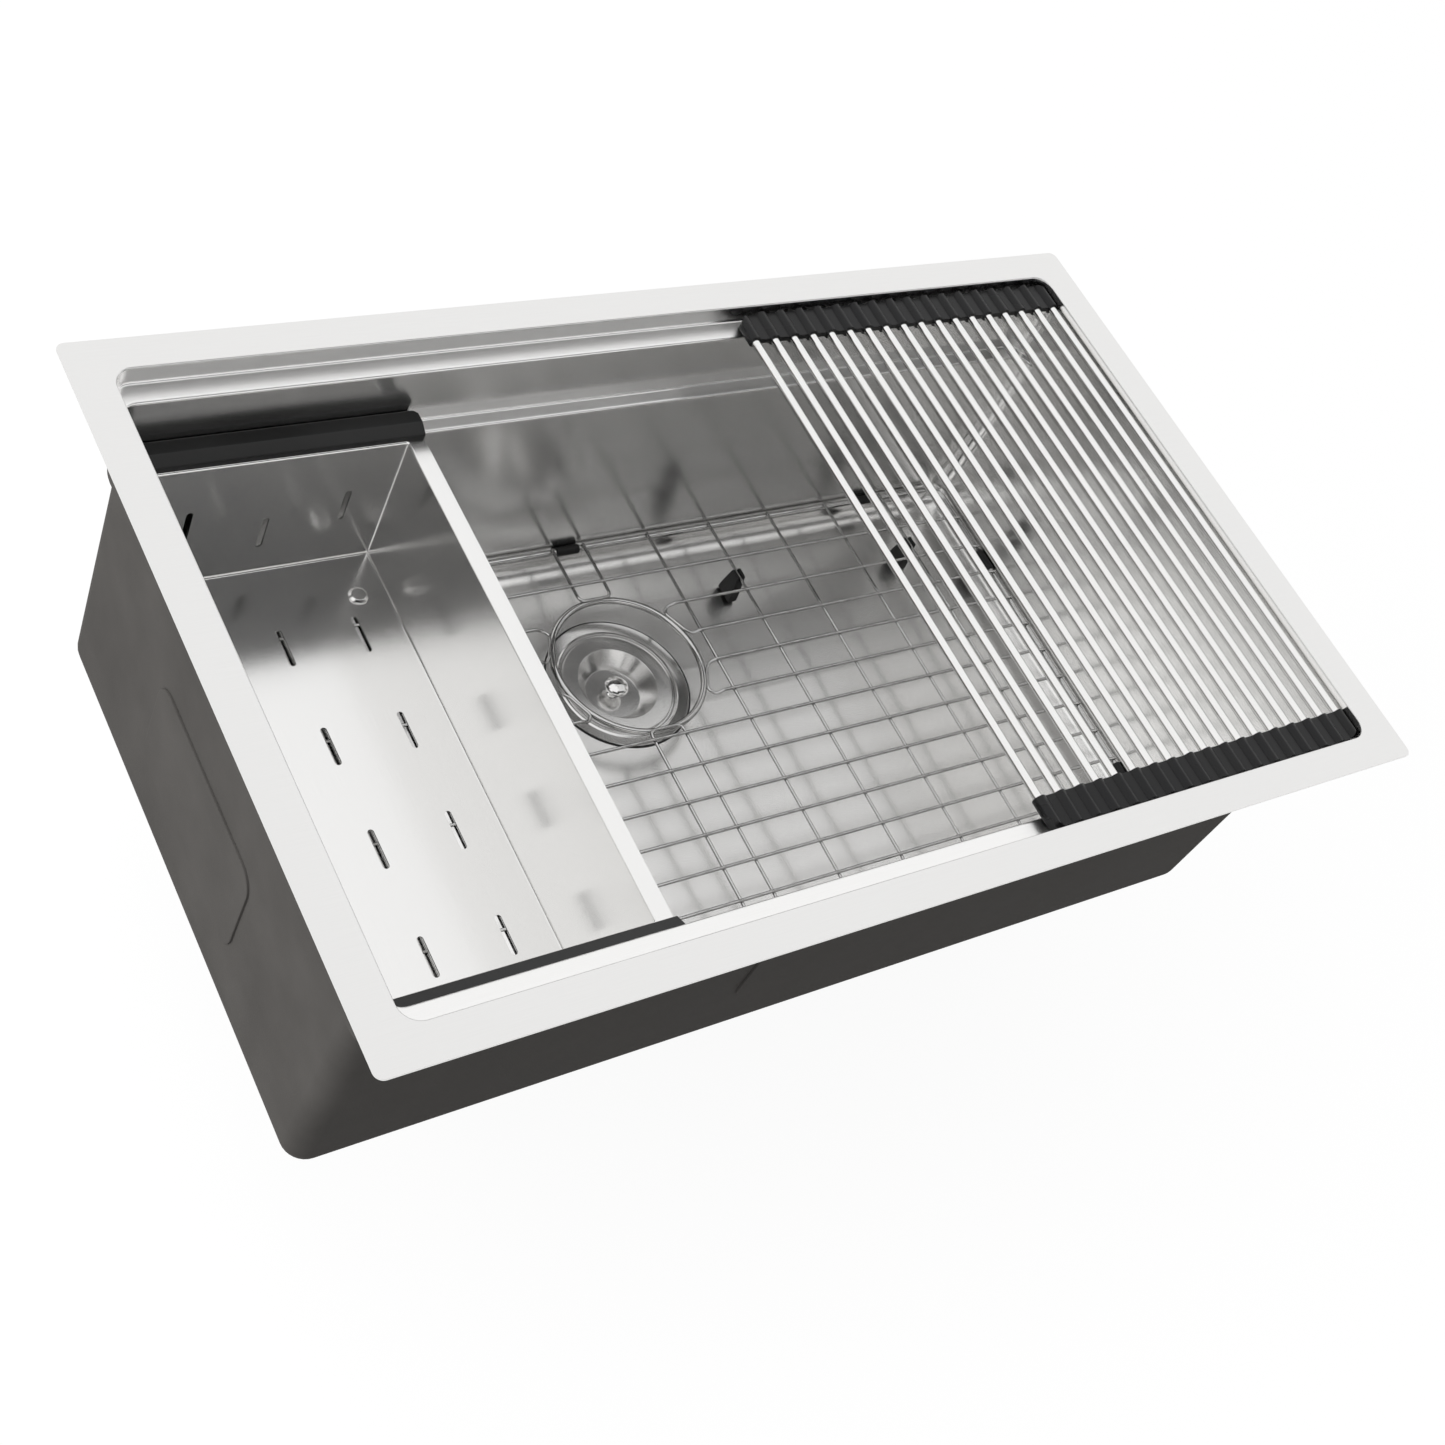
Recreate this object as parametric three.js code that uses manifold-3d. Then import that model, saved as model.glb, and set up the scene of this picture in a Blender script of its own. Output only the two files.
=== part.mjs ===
// A workstation kitchen sink: an undermount stainless bowl with two ledges along its front and back
// walls, a basket strainer, a wire bottom grid, a sliding colander and a roll-up drying mat.
// Millimetres, +Z up. The origin is the middle of the opening, level with the top of the rim.
// +X runs along the sink to the mat's end, +Y to its back.
import * as THREE from "three";
import { mergeVertices } from "three/addons/utils/BufferGeometryUtils.js";
import Module from "manifold-3d";

const wasm = await Module();
wasm.setup();

// ---- driving dimensions ------------------------------------------------------------------------
const SEAT_GAP = 0.3; // between a piece and what it rests on
const CUT = 20; // how far a cutter runs past what it cuts

// rim and bowl
const OPENING_WIDTH = 760;
const OPENING_DEPTH = 451.4;
const RIM_SIDE_WIDTH = 26.4;
const RIM_LONG_WIDTH = 24.55; // the rim's width along the front and the back
const RIM_CORNER = 6;
const WALL_CORNER = 13;
const SHEET = 1.5;
const UPPER_LEDGE_DROP = 14.1;
const UPPER_LEDGE_WIDTH = 15.8;
const LOWER_LEDGE_DROP = 62;
const LOWER_LEDGE_WIDTH = 11.3;
const BOWL_DEPTH = 244;
const FLOOR_RADIUS = 15;
const FLOOR_FALL = 3;
const END_WALL_REACH = 20; // how far each end wall's turned edge reaches into the bowl
const CORNER_STEPS = 3;

// outside finish
const COAT = 0.8;
const COAT_DRAIN_MARGIN = 4; // bare metal round the drain's recess
const PAD_THICKNESS = 2.5;
const SIDE_PAD_LENGTH = 150;
const LONG_PAD_LENGTH = 160;
const PAD_TOP_DROP = 108;
const PAD_HEIGHT = 82;
const PAD_CORNER = 16;

// drain
const DRAIN_Y = 83.5;
const DRAIN_SIDES = 24;
const DRAIN_HOLE_RADIUS = 44.8;
const RECESS_RADIUS = 59;
const RECESS_DEPTH = 2.6;
const RECESS_FLAT = 3.2; // the flat ring round the hole, inside the recess's slope
const FLOOR_FLAT = 8; // the flat ring of floor round the recess
const FLANGE_INSET = 1.8; // from the recess's edge in to the flange's
const FLANGE_SHEET = 1.2;
const FLANGE_LEDGE = 4; // the flat ring inside the flange that carries the lid
const BODY_CLEARANCE = 1.2; // between the body and the hole in the floor
const BODY_WALL = 1.6;
const BODY_DEPTH = 68;
const BODY_TAPER = 12; // the height of the cone at the body's bottom
const BODY_COLLAR = 2; // how far the thread runs on below the locknut
const OUTLET_RADIUS = 22;
const OUTLET_LENGTH = 22;
const OUTLET_WALL = 2;
const GASKET_WIDTH = 9;
const GASKET_THICKNESS = 3;
const FRICTION_RING_THICKNESS = 1;
const LOCKNUT_HEIGHT = 11;
const LOCKNUT_WALL = 8;
const LOCKNUT_LUGS = 8;
const LUG_REACH = 4;
const LUG_WIDTH = 8;
const LUG_DROP = 3; // from the nut's top down to its lugs
const PIPE_STEP = 3; // from the outlet's radius in to the tailpiece's
const PIPE_LENGTH = 60;
const PIPE_WALL = 2;
const PIPE_LIP_HEIGHT = 2.6;
const PIPE_LIP_INSET = 0.4; // from the outlet's radius in to the lip's
const COUPLING_NUT_HEIGHT = 20;
const COUPLING_NUT_WALL = 7; // at its corners
const COUPLING_NUT_FLOOR = 4;

// strainer basket and lid
const BASKET_SEAT_DROP = 1; // from the ledge down to the cone that carries the basket
const BASKET_SEAT_WIDTH = 4;
const BASKET_CLEARANCE = 1;
const BASKET_DEPTH = 40;
const BASKET_SHEET = 1;
const BASKET_BEND = 6;
const BASKET_HOLE_RADIUS = 2.6;
const BASKET_HOLES = 8;
const BASKET_HOLE_ROWS = 2;
const BASKET_HOLE_RISE = 14; // from the basket's bottom up to the first row
const BASKET_ROW_PITCH = 13;
const BASKET_FLOOR_HOLES = 6;
const BASKET_FLOOR_CIRCLE = 20;
const POST_RADIUS = 3;
const POST_HEIGHT = 22;
const GRIP_RADIUS = 7;
const GRIP_HEIGHT = 4;
const LID_CLEARANCE = 2.2; // from the flange's slope in to the lid's edge
const LID_SHEET = 1;
const LID_RING_WIDTH = 11.8; // the lid's flat ring
const LID_DISH_SLOPE = 10; // how far the dish's cone comes in
const LID_DISH_DEPTH = 13;
const KNOB_RADIUS = 9.4;
const KNOB_HEIGHT = 13;
const KNOB_HEAD_HEIGHT = 5.5;
const KNOB_DOME_HEIGHT = 4;
const KNOB_STEM_RADIUS = 4;
const KNOB_FOOT_RADIUS = 5.5;
const KNOB_FOOT_HEIGHT = 1.5;

// bottom grid
const FRAME_WIRE = 5;
const FRAME_SIDES = 8;
const CROSS_WIRE = 2.5;
const CROSS_SIDES = 4;
const FRAME_HEIGHT = 21.5; // the frame wire's middle above the bowl's floor
const FRAME_CORNER = 15;
const WELD_SINK = 0.4; // how far one wire is pressed into the next
const ROWS_EACH_WAY = 5;
const OUTER_ROW_GAP = 32;
const FRAME_ROW_GAP = 36.6; // from the last row to the frame
const COLUMNS_EACH_WAY = 5;
const FRAME_COLUMN_GAP = 67; // from the last column to the frame
const RING_CLEARANCE = 0.8; // between the ring round the drain and the flange
const RING_STEPS = 20;
const WIRE_END = 1.3; // how far a cross wire's end stands past the frame wire's middle
const ROW_DIP = 12; // the stretch over which a row's end comes down to the frame
const HAIRPIN_BEND = 5;
const HAIRPIN_DIP = 6; // the stretch over which a hairpin comes down to the ring
const HAIRPIN_RISE = 2; // the hairpin's middle above the ring's
const BUMPER_RADIUS = 3.7;
const BUMPER_BORE_GAP = 0.5; // from the round wire's surface out to the sleeve's bore
const BUMPER_LENGTH = 20;
const BUMPER_GAP = 2.75; // between a sleeve and the cross wire beside it
const FOOT_BOTTOM = 18;
const FOOT_TOP = 9;
const FOOT_THICKNESS = 8;
const FOOT_PAD_HEIGHT = 8;
const FOOT_PAD_INSET = 1;
const FOOT_ABOVE_WIRE = 1;
const FOOT_Y = 142;
const FOOT_COLUMNS = [2, 5];

// colander
const COLANDER_GAP = 8; // between the rails' ends and the left wall
const TRAY_WIDTH = 174;
const TRAY_WALL_GAP = 11.6; // between the tray's inside and the bowl's front and back walls
const TRAY_SHEET = 1;
const TRAY_HEIGHT = 116;
const TRAY_FLANGE_RISE = 6; // the flange's top above the lower ledge
const TRAY_FLANGE = 12.5;
const SLOT_LENGTH = 30;
const SLOT_WIDTH = 4.6;
const SLOT_SIDE_MARGIN = 31.7; // from the tray's side walls to the outer slots
const SLOT_END_MARGIN = 66.1; // from its end walls to the outer slots' middles
const SLOT_COLUMNS = 3;
const SLOT_ROWS = 4;
const WALL_SLOT_DROP = 57.5;
const WALL_SLOT_STAGGER = 17;
const STUD_SIDE_MARGIN = 21.5;
const STUD_END_MARGIN = 35;
const STUD_HEAD_RADIUS = 7.2;
const STUD_HEAD_HEIGHT = 2.4;
const STUD_HEAD_EDGE = 0.8;
const STUD_HEAD_CHAMFER = 2;
const STUD_FOOT_RADIUS = 5;
const STUD_FOOT_HEIGHT = 4;
const RAIL_OVERHANG = 0.5; // past the tray's flanges at each end
const RAIL_TRAY_GAP = 1; // between a rail and the tray's wall
const RAIL_HEIGHT = 13.5;
const RAIL_TONGUE = 17; // how far the tray's flange reaches into a rail
const RAIL_TOP_CHAMFER = 2.6;
const RAIL_FRONT_CHAMFER = 8;
const RAIL_FRONT_DROP = 4;
const RAIL_END_CHAMFER = 5;

// roll-up mat
const RODS = 18;
const ROD_PITCH = 17.15;
const ROD_RADIUS = 3.1;
const ROD_SIDES = 8;
const ROD_IN_STRIP = 14;
const STRIP_WIDTH = 23.5;
const STRIP_BUMP_RADIUS = 4.9;
const STRIP_WEB = 4.4;
const MAT_SIDE_GAP = 2.7; // between a strip and the wall beside it
const MAT_END_GAP = 0.3; // between the strips' ends and the right wall

// ---- worked out from them ----------------------------------------------------------------------
const RIM_WIDTH = OPENING_WIDTH + 2 * RIM_SIDE_WIDTH;
const RIM_DEPTH = OPENING_DEPTH + 2 * RIM_LONG_WIDTH;
const UPPER_LEDGE_Y = OPENING_DEPTH / 2 - UPPER_LEDGE_WIDTH;
const LOWER_LEDGE_Y = UPPER_LEDGE_Y - LOWER_LEDGE_WIDTH;
const DRAIN_FLOOR = -BOWL_DEPTH - FLOOR_FALL;
const UNDERSIDE = DRAIN_FLOOR - SHEET;

const RECESS_FLOOR_RADIUS = DRAIN_HOLE_RADIUS + RECESS_FLAT;
const FLANGE_RADIUS = RECESS_RADIUS - FLANGE_INSET;
const FLANGE_SEAT = DRAIN_FLOOR - RECESS_DEPTH + SEAT_GAP;
const FLANGE_LEDGE_TOP = FLANGE_SEAT + FLANGE_SHEET;
const BODY_RADIUS = DRAIN_HOLE_RADIUS - BODY_CLEARANCE;
const BORE_RADIUS = BODY_RADIUS - BODY_WALL;
const THROAT_RADIUS = BORE_RADIUS - BASKET_SEAT_WIDTH;
const BASKET_SEAT = FLANGE_LEDGE_TOP - BASKET_SEAT_DROP;

// ---- finishes ----------------------------------------------------------------------------------
const finish = (color, roughness, metalness) =>
  new THREE.MeshStandardMaterial({ color, roughness, metalness });
const FINISHES = {
  satin_steel: () => finish(0xc9c8c4, 0.35, 1),
  polished_steel: () => finish(0xe6e6e4, 0.15, 1),
  coat: () => finish(0x3b3a38, 0.8, 0),
  black_rubber: () => finish(0x191919, 0.7, 0),
  black_plastic: () => finish(0x262626, 0.5, 0),
  brass: () => finish(0xb8964f, 0.4, 1),
  fibre: () => finish(0xb9a27c, 0.9, 0),
};

// ---- solids ------------------------------------------------------------------------------------
function solidFrom(geometry) {
  const plain = (geometry.index ? geometry.toNonIndexed() : geometry).clone();
  plain.deleteAttribute("normal");
  plain.deleteAttribute("uv");
  const merged = mergeVertices(plain, 1e-4);
  const corners = merged.index.array;
  const kept = [];
  for (let i = 0; i < corners.length; i += 3) {
    const [a, b, c] = [corners[i], corners[i + 1], corners[i + 2]];
    if (a !== b && b !== c && c !== a) kept.push(a, b, c);
  }
  const mesh = new wasm.Mesh({
    numProp: 3,
    vertProperties: merged.attributes.position.array,
    triVerts: new Uint32Array(kept),
  });
  return new wasm.Manifold(mesh);
}

function geometryFrom(solid) {
  const mesh = solid.getMesh();
  const points = new Float32Array(mesh.numVert * 3);
  for (let i = 0; i < mesh.numVert; i++) {
    const start = i * mesh.numProp;
    points.set(mesh.vertProperties.subarray(start, start + 3), i * 3);
  }
  const geometry = new THREE.BufferGeometry();
  geometry.setAttribute("position", new THREE.BufferAttribute(points, 3));
  geometry.setIndex(new THREE.BufferAttribute(mesh.triVerts, 1));
  geometry.computeVertexNormals();
  return geometry;
}

function addPiece(parent, name, finishName, solid) {
  const mesh = new THREE.Mesh(geometryFrom(solid), FINISHES[finishName]());
  mesh.name = name;
  parent.add(mesh);
  return mesh;
}

const joined = (solids) => solids.reduce((all, next) => all.add(next));
const moved = (solid, x, y, z) => solid.translate([x, y, z]);

function block(x0, x1, y0, y1, z0, z1) {
  const geometry = new THREE.BoxGeometry(x1 - x0, y1 - y0, z1 - z0);
  return solidFrom(geometry.translate((x0 + x1) / 2, (y0 + y1) / 2, (z0 + z1) / 2));
}

// A closed profile of [radius, height] points, turned about the Z axis.
function turned(profile, segments = 24) {
  const points = profile.map(([r, z]) => new THREE.Vector2(r, z));
  if (THREE.ShapeUtils.area(points) < 0) points.reverse();
  points.push(points[0].clone());
  return solidFrom(new THREE.LatheGeometry(points, segments).rotateX(Math.PI / 2));
}

function upright(radius, z0, z1, segments = 24) {
  const geometry = new THREE.CylinderGeometry(radius, radius, z1 - z0, segments);
  return solidFrom(geometry.rotateX(Math.PI / 2).translate(0, 0, (z0 + z1) / 2));
}

function tubeWall(inner, outer, z0, z1, segments = 24) {
  return turned([[inner, z0], [outer, z0], [outer, z1], [inner, z1]], segments);
}

// A flat shape in the XY plane, raised from z0 to z1.
function raised(shape, z0, z1, curveSegments = 4) {
  const settings = { depth: z1 - z0, bevelEnabled: false, curveSegments };
  return solidFrom(new THREE.ExtrudeGeometry(shape, settings).translate(0, 0, z0));
}

// A profile of [y, z] points, drawn along X from x0 to x1.
function alongX(profile, x0, x1) {
  const shape = new THREE.Shape(profile.map(([y, z]) => new THREE.Vector2(y, z)));
  const geometry = new THREE.ExtrudeGeometry(shape, { depth: x1 - x0, bevelEnabled: false });
  geometry.applyMatrix4(new THREE.Matrix4().set(0, 0, 1, x0, 1, 0, 0, 0, 0, 1, 0, 0, 0, 0, 0, 1));
  return solidFrom(geometry);
}

function roundedRectangle(halfX, halfY, radius) {
  const shape = new THREE.Shape();
  shape.moveTo(halfX, -halfY + radius);
  shape.lineTo(halfX, halfY - radius);
  shape.absarc(halfX - radius, halfY - radius, radius, 0, Math.PI / 2, false);
  shape.lineTo(-halfX + radius, halfY);
  shape.absarc(-halfX + radius, halfY - radius, radius, Math.PI / 2, Math.PI, false);
  shape.lineTo(-halfX, -halfY + radius);
  shape.absarc(-halfX + radius, -halfY + radius, radius, Math.PI, 1.5 * Math.PI, false);
  shape.lineTo(halfX - radius, -halfY);
  shape.absarc(halfX - radius, -halfY + radius, radius, -Math.PI / 2, 0, false);
  return shape;
}

// Rings of equal count, joined from the top ring down and capped at both ends.
function loft(rings) {
  const count = rings[0].length;
  const points = rings.flat();
  const middle = (ring) => ring.reduce((sum, p) => sum.add(p), new THREE.Vector3()).divideScalar(count);
  const top = points.push(middle(rings[0])) - 1;
  const bottom = points.push(middle(rings.at(-1))) - 1;
  const faces = [];
  for (let i = 0; i < count; i++) {
    const next = (i + 1) % count;
    faces.push(top, i, next);
    for (let level = 0; level + 1 < rings.length; level++) {
      const here = level * count;
      const below = here + count;
      faces.push(here + i, below + i, below + next, here + i, below + next, here + next);
    }
    const last = (rings.length - 1) * count;
    faces.push(bottom, last + next, last + i);
  }
  const geometry = new THREE.BufferGeometry().setFromPoints(points);
  return solidFrom(geometry.setIndex(faces));
}

function rectangleRing(halfX, halfY, radius, z) {
  const ring = [];
  for (let corner = 0; corner < 4; corner++) {
    const signX = corner === 0 || corner === 3 ? 1 : -1;
    const signY = corner < 2 ? 1 : -1;
    for (let step = 0; step <= CORNER_STEPS; step++) {
      const angle = ((corner + step / CORNER_STEPS) * Math.PI) / 2;
      const x = signX * (halfX - radius) + radius * Math.cos(angle);
      const y = signY * (halfY - radius) + radius * Math.sin(angle);
      ring.push(new THREE.Vector3(x, y, z));
    }
  }
  return ring;
}

// A circle with as many points as a rectangle's ring.
function circleRing(radius, x, y, z) {
  const count = 4 * (CORNER_STEPS + 1);
  const ring = [];
  for (let i = 0; i < count; i++) {
    const angle = ((i + 0.5) / count) * 2 * Math.PI;
    ring.push(new THREE.Vector3(x + radius * Math.cos(angle), y + radius * Math.sin(angle), z));
  }
  return ring;
}

// How far a wire's flat facets lie from its middle: its section has the area of the round one.
function facetReach(diameter, sides) {
  const part = Math.PI / sides;
  return (diameter / 2) * Math.sqrt(part / Math.tan(part));
}

// A wire with flat facets up and down, mitred at its bends. Points lie nearly level.
function wire(points, diameter, sides, closed = false) {
  const radius = facetReach(diameter, sides) / Math.cos(Math.PI / sides);
  const path = points.map(([x, y, z]) => new THREE.Vector3(x, y, z));
  const count = path.length;
  const direction = (i) => {
    const from = path[(i + count) % count];
    const to = path[(i + 1) % count];
    return to.clone().sub(from).normalize();
  };
  const rings = path.map((point, i) => {
    const before = closed || i > 0 ? direction(i - 1) : direction(i);
    const after = closed || i < count - 1 ? direction(i) : before;
    const bisector = before.clone().add(after).normalize();
    const side = new THREE.Vector3(before.y, -before.x, 0).normalize();
    const up = new THREE.Vector3().crossVectors(side, before);
    const ring = [];
    for (let k = 0; k < sides; k++) {
      const angle = ((k + 0.5) / sides) * 2 * Math.PI + Math.PI / 2;
      const offset = side.clone().multiplyScalar(radius * Math.cos(angle));
      offset.addScaledVector(up, radius * Math.sin(angle));
      const along = -offset.dot(bisector) / before.dot(bisector);
      ring.push(point.clone().add(offset).addScaledVector(before, along));
    }
    return ring;
  });
  return tubeFromRings(rings, closed);
}

function tubeFromRings(rings, closed) {
  const sides = rings[0].length;
  const points = rings.flat();
  const faces = [];
  const spans = closed ? rings.length : rings.length - 1;
  for (let i = 0; i < spans; i++) {
    const here = i * sides;
    const there = ((i + 1) % rings.length) * sides;
    for (let k = 0; k < sides; k++) {
      const next = (k + 1) % sides;
      faces.push(here + k, there + next, there + k, here + k, here + next, there + next);
    }
  }
  if (!closed) {
    const last = (rings.length - 1) * sides;
    for (let k = 1; k + 1 < sides; k++) {
      faces.push(0, k + 1, k, last, last + k, last + k + 1);
    }
  }
  const geometry = new THREE.BufferGeometry().setFromPoints(points).setIndex(faces);
  const solid = solidFrom(geometry);
  return solid.volume() > 0 ? solid : solidFrom(geometry.setIndex(faces.reverse()));
}

// ---- bowl --------------------------------------------------------------------------------------
// The bowl's space grown outwards by `grow`, from its ledges to its floor, with an open or flat top.
function bowlSpace(grow, topZ) {
  const halfX = OPENING_WIDTH / 2 + grow;
  const corner = WALL_CORNER + grow;
  const bend = FLOOR_RADIUS + grow;
  const floor = -BOWL_DEPTH - grow;
  const upper = -UPPER_LEDGE_DROP - grow;
  const lower = -LOWER_LEDGE_DROP - grow;
  const rings = [
    rectangleRing(halfX, OPENING_DEPTH / 2 + grow, corner, topZ),
    rectangleRing(halfX, OPENING_DEPTH / 2 + grow, corner, upper),
    rectangleRing(halfX, UPPER_LEDGE_Y + grow, corner, upper),
    rectangleRing(halfX, UPPER_LEDGE_Y + grow, corner, lower),
    rectangleRing(halfX, LOWER_LEDGE_Y + grow, corner, lower),
  ];
  for (let step = 0; step <= CORNER_STEPS; step++) {
    const angle = ((step / CORNER_STEPS) * Math.PI) / 2;
    const inset = bend * (1 - Math.cos(angle));
    const z = floor + bend * (1 - Math.sin(angle));
    rings.push(rectangleRing(halfX - inset, LOWER_LEDGE_Y + grow - inset, Math.max(corner, inset), z));
  }
  rings.push(circleRing(RECESS_RADIUS + FLOOR_FLAT, 0, DRAIN_Y, floor - FLOOR_FALL));
  return loft(rings);
}

const atDrain = (solid) => moved(solid, 0, DRAIN_Y, 0);

function drainRecess(grow) {
  const top = DRAIN_FLOOR - grow;
  const cone = [
    [0, top + 1],
    [RECESS_RADIUS + grow, top + 1],
    [RECESS_RADIUS + grow, top],
    [RECESS_FLOOR_RADIUS + grow, top - RECESS_DEPTH],
    [0, top - RECESS_DEPTH],
  ];
  return atDrain(turned(cone, DRAIN_SIDES));
}

function bowlSheet() {
  const hole = atDrain(upright(DRAIN_HOLE_RADIUS, UNDERSIDE - CUT, -BOWL_DEPTH, DRAIN_SIDES));
  const outside = bowlSpace(SHEET, -SHEET).add(drainRecess(SHEET));
  return outside.subtract(bowlSpace(0, 1)).subtract(drainRecess(0)).subtract(hole);
}

function addBowl(parent) {
  const sheet = bowlSheet();
  const reach = OPENING_WIDTH / 2 - END_WALL_REACH;
  const slice = (x0, x1) => block(x0, x1, -RIM_DEPTH, RIM_DEPTH, UNDERSIDE - CUT, CUT);
  addPiece(parent, "bowl_shell", "satin_steel", sheet.intersect(slice(-reach, reach)));
  addPiece(parent, "left_end_wall", "satin_steel", sheet.intersect(slice(-RIM_WIDTH, -reach)));
  addPiece(parent, "right_end_wall", "satin_steel", sheet.intersect(slice(reach, RIM_WIDTH)));

  const rim = roundedRectangle(RIM_WIDTH / 2, RIM_DEPTH / 2, RIM_CORNER);
  rim.holes.push(roundedRectangle(OPENING_WIDTH / 2, OPENING_DEPTH / 2, WALL_CORNER));
  addPiece(parent, "rim_flange", "satin_steel", raised(rim, -SHEET, 0, CORNER_STEPS));
}

// Each sound pad is glued to the outside of a wall, and the coat is sprayed round it.
function padSolid(side, grow) {
  const [across, wallDistance, length] = {
    left: [false, -OPENING_WIDTH / 2 - SHEET, SIDE_PAD_LENGTH],
    right: [false, OPENING_WIDTH / 2 + SHEET, SIDE_PAD_LENGTH],
    front: [true, -LOWER_LEDGE_Y - SHEET, LONG_PAD_LENGTH],
    back: [true, LOWER_LEDGE_Y + SHEET, LONG_PAD_LENGTH],
  }[side];
  const outline = roundedRectangle(length / 2 + grow, PAD_HEIGHT / 2 + grow, PAD_CORNER + grow);
  const away = Math.sign(wallDistance);
  const plate = raised(outline, SEAT_GAP, SEAT_GAP + PAD_THICKNESS, 2);
  const middleZ = -PAD_TOP_DROP - PAD_HEIGHT / 2;
  const standing = plate.rotate([90, 0, across ? (away > 0 ? 180 : 0) : away * 90]);
  return across
    ? standing.translate([0, wallDistance, middleZ])
    : standing.translate([wallDistance, 0, middleZ]);
}

function addCoatAndPads(parent) {
  const sides = ["left", "right", "front", "back"];
  for (const side of sides) addPiece(parent, side + "_sound_pad", "coat", padSolid(side, 0));
  const inside = SHEET + SEAT_GAP;
  const top = -SHEET - SEAT_GAP;
  const bareRadius = RECESS_RADIUS + COAT_DRAIN_MARGIN;
  const bare = atDrain(upright(bareRadius, UNDERSIDE - CUT, -BOWL_DEPTH, DRAIN_SIDES));
  let coat = bowlSpace(inside + COAT, top).subtract(bowlSpace(inside, 1)).subtract(bare);
  for (const side of sides) coat = coat.subtract(padSolid(side, SEAT_GAP));
  addPiece(parent, "undercoat", "coat", coat);
}

// ---- drain -------------------------------------------------------------------------------------
function addDrain(parent) {
  const gasketTop = UNDERSIDE - RECESS_DEPTH - SEAT_GAP;
  const ringTop = gasketTop - GASKET_THICKNESS;
  const nutTop = ringTop - FRICTION_RING_THICKNESS;
  const outletTop = DRAIN_FLOOR - BODY_DEPTH;
  const outletBottom = outletTop - OUTLET_LENGTH;
  const body = strainerBody(nutTop - LOCKNUT_HEIGHT - BODY_COLLAR, outletTop, outletBottom);
  addPiece(parent, "strainer_body", "satin_steel", atDrain(body));

  const bore = BODY_RADIUS + SEAT_GAP;
  const gasket = tubeWall(bore, bore + GASKET_WIDTH, ringTop, gasketTop, DRAIN_SIDES);
  addPiece(parent, "strainer_gasket", "black_rubber", atDrain(gasket));
  const ring = tubeWall(bore, bore + GASKET_WIDTH, nutTop, ringTop, DRAIN_SIDES);
  addPiece(parent, "friction_ring", "fibre", atDrain(ring));
  addPiece(parent, "locknut", "brass", atDrain(lockNut(bore, nutTop)));

  const pipeTop = outletBottom - SEAT_GAP;
  addPiece(parent, "tailpiece", "polished_steel", atDrain(tailpiece(pipeTop)));
  addPiece(parent, "coupling_nut", "brass", atDrain(couplingNut(pipeTop)));
}

// A flange that follows the recess, a cup with a seat for the basket, and an outlet below it.
function strainerBody(collarBottom, outletTop, outletBottom) {
  const slope = RECESS_DEPTH / (RECESS_RADIUS - RECESS_FLOOR_RADIUS);
  const rise = slope * (FLANGE_RADIUS - RECESS_FLOOR_RADIUS);
  const cupRadius = THROAT_RADIUS + BODY_WALL;
  const collarStep = BODY_RADIUS - cupRadius;
  const profile = [
    [FLANGE_RADIUS, FLANGE_SEAT + rise],
    [FLANGE_RADIUS, FLANGE_LEDGE_TOP + rise],
    [BORE_RADIUS + FLANGE_LEDGE, FLANGE_LEDGE_TOP],
    [BORE_RADIUS, FLANGE_LEDGE_TOP],
    [BORE_RADIUS, BASKET_SEAT],
    [THROAT_RADIUS, BASKET_SEAT - BASKET_SEAT_WIDTH],
    [THROAT_RADIUS, outletTop + BODY_TAPER],
    [OUTLET_RADIUS - OUTLET_WALL, outletTop],
    [OUTLET_RADIUS - OUTLET_WALL, outletBottom],
    [OUTLET_RADIUS, outletBottom],
    [OUTLET_RADIUS, outletTop - BODY_WALL],
    [cupRadius, outletTop + BODY_TAPER - BODY_WALL],
    [cupRadius, collarBottom - collarStep],
    [BODY_RADIUS, collarBottom],
    [BODY_RADIUS, FLANGE_SEAT],
    [RECESS_FLOOR_RADIUS, FLANGE_SEAT],
  ];
  return turned(profile, DRAIN_SIDES);
}

// A ring with lugs for a spanner.
function lockNut(bore, top) {
  const outer = bore + LOCKNUT_WALL;
  const bottom = top - LOCKNUT_HEIGHT;
  const root = bore + LOCKNUT_WALL / 2;
  const half = LUG_WIDTH / 2;
  const lugs = [];
  for (let i = 0; i < LOCKNUT_LUGS; i++) {
    const lug = block(root, outer + LUG_REACH, -half, half, bottom, top - LUG_DROP);
    lugs.push(lug.rotate([0, 0, (i * 360) / LOCKNUT_LUGS]));
  }
  return joined([tubeWall(bore, outer, bottom, top, DRAIN_SIDES), ...lugs]);
}

// A pipe with a lip that butts against the outlet.
function tailpiece(top) {
  const radius = OUTLET_RADIUS - PIPE_STEP;
  const lipRadius = OUTLET_RADIUS - PIPE_LIP_INSET;
  const profile = [
    [radius - PIPE_WALL, top],
    [lipRadius, top],
    [lipRadius, top - PIPE_LIP_HEIGHT],
    [radius, top - PIPE_LIP_HEIGHT],
    [radius, top - PIPE_LENGTH],
    [radius - PIPE_WALL, top - PIPE_LENGTH],
  ];
  return turned(profile);
}

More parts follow.
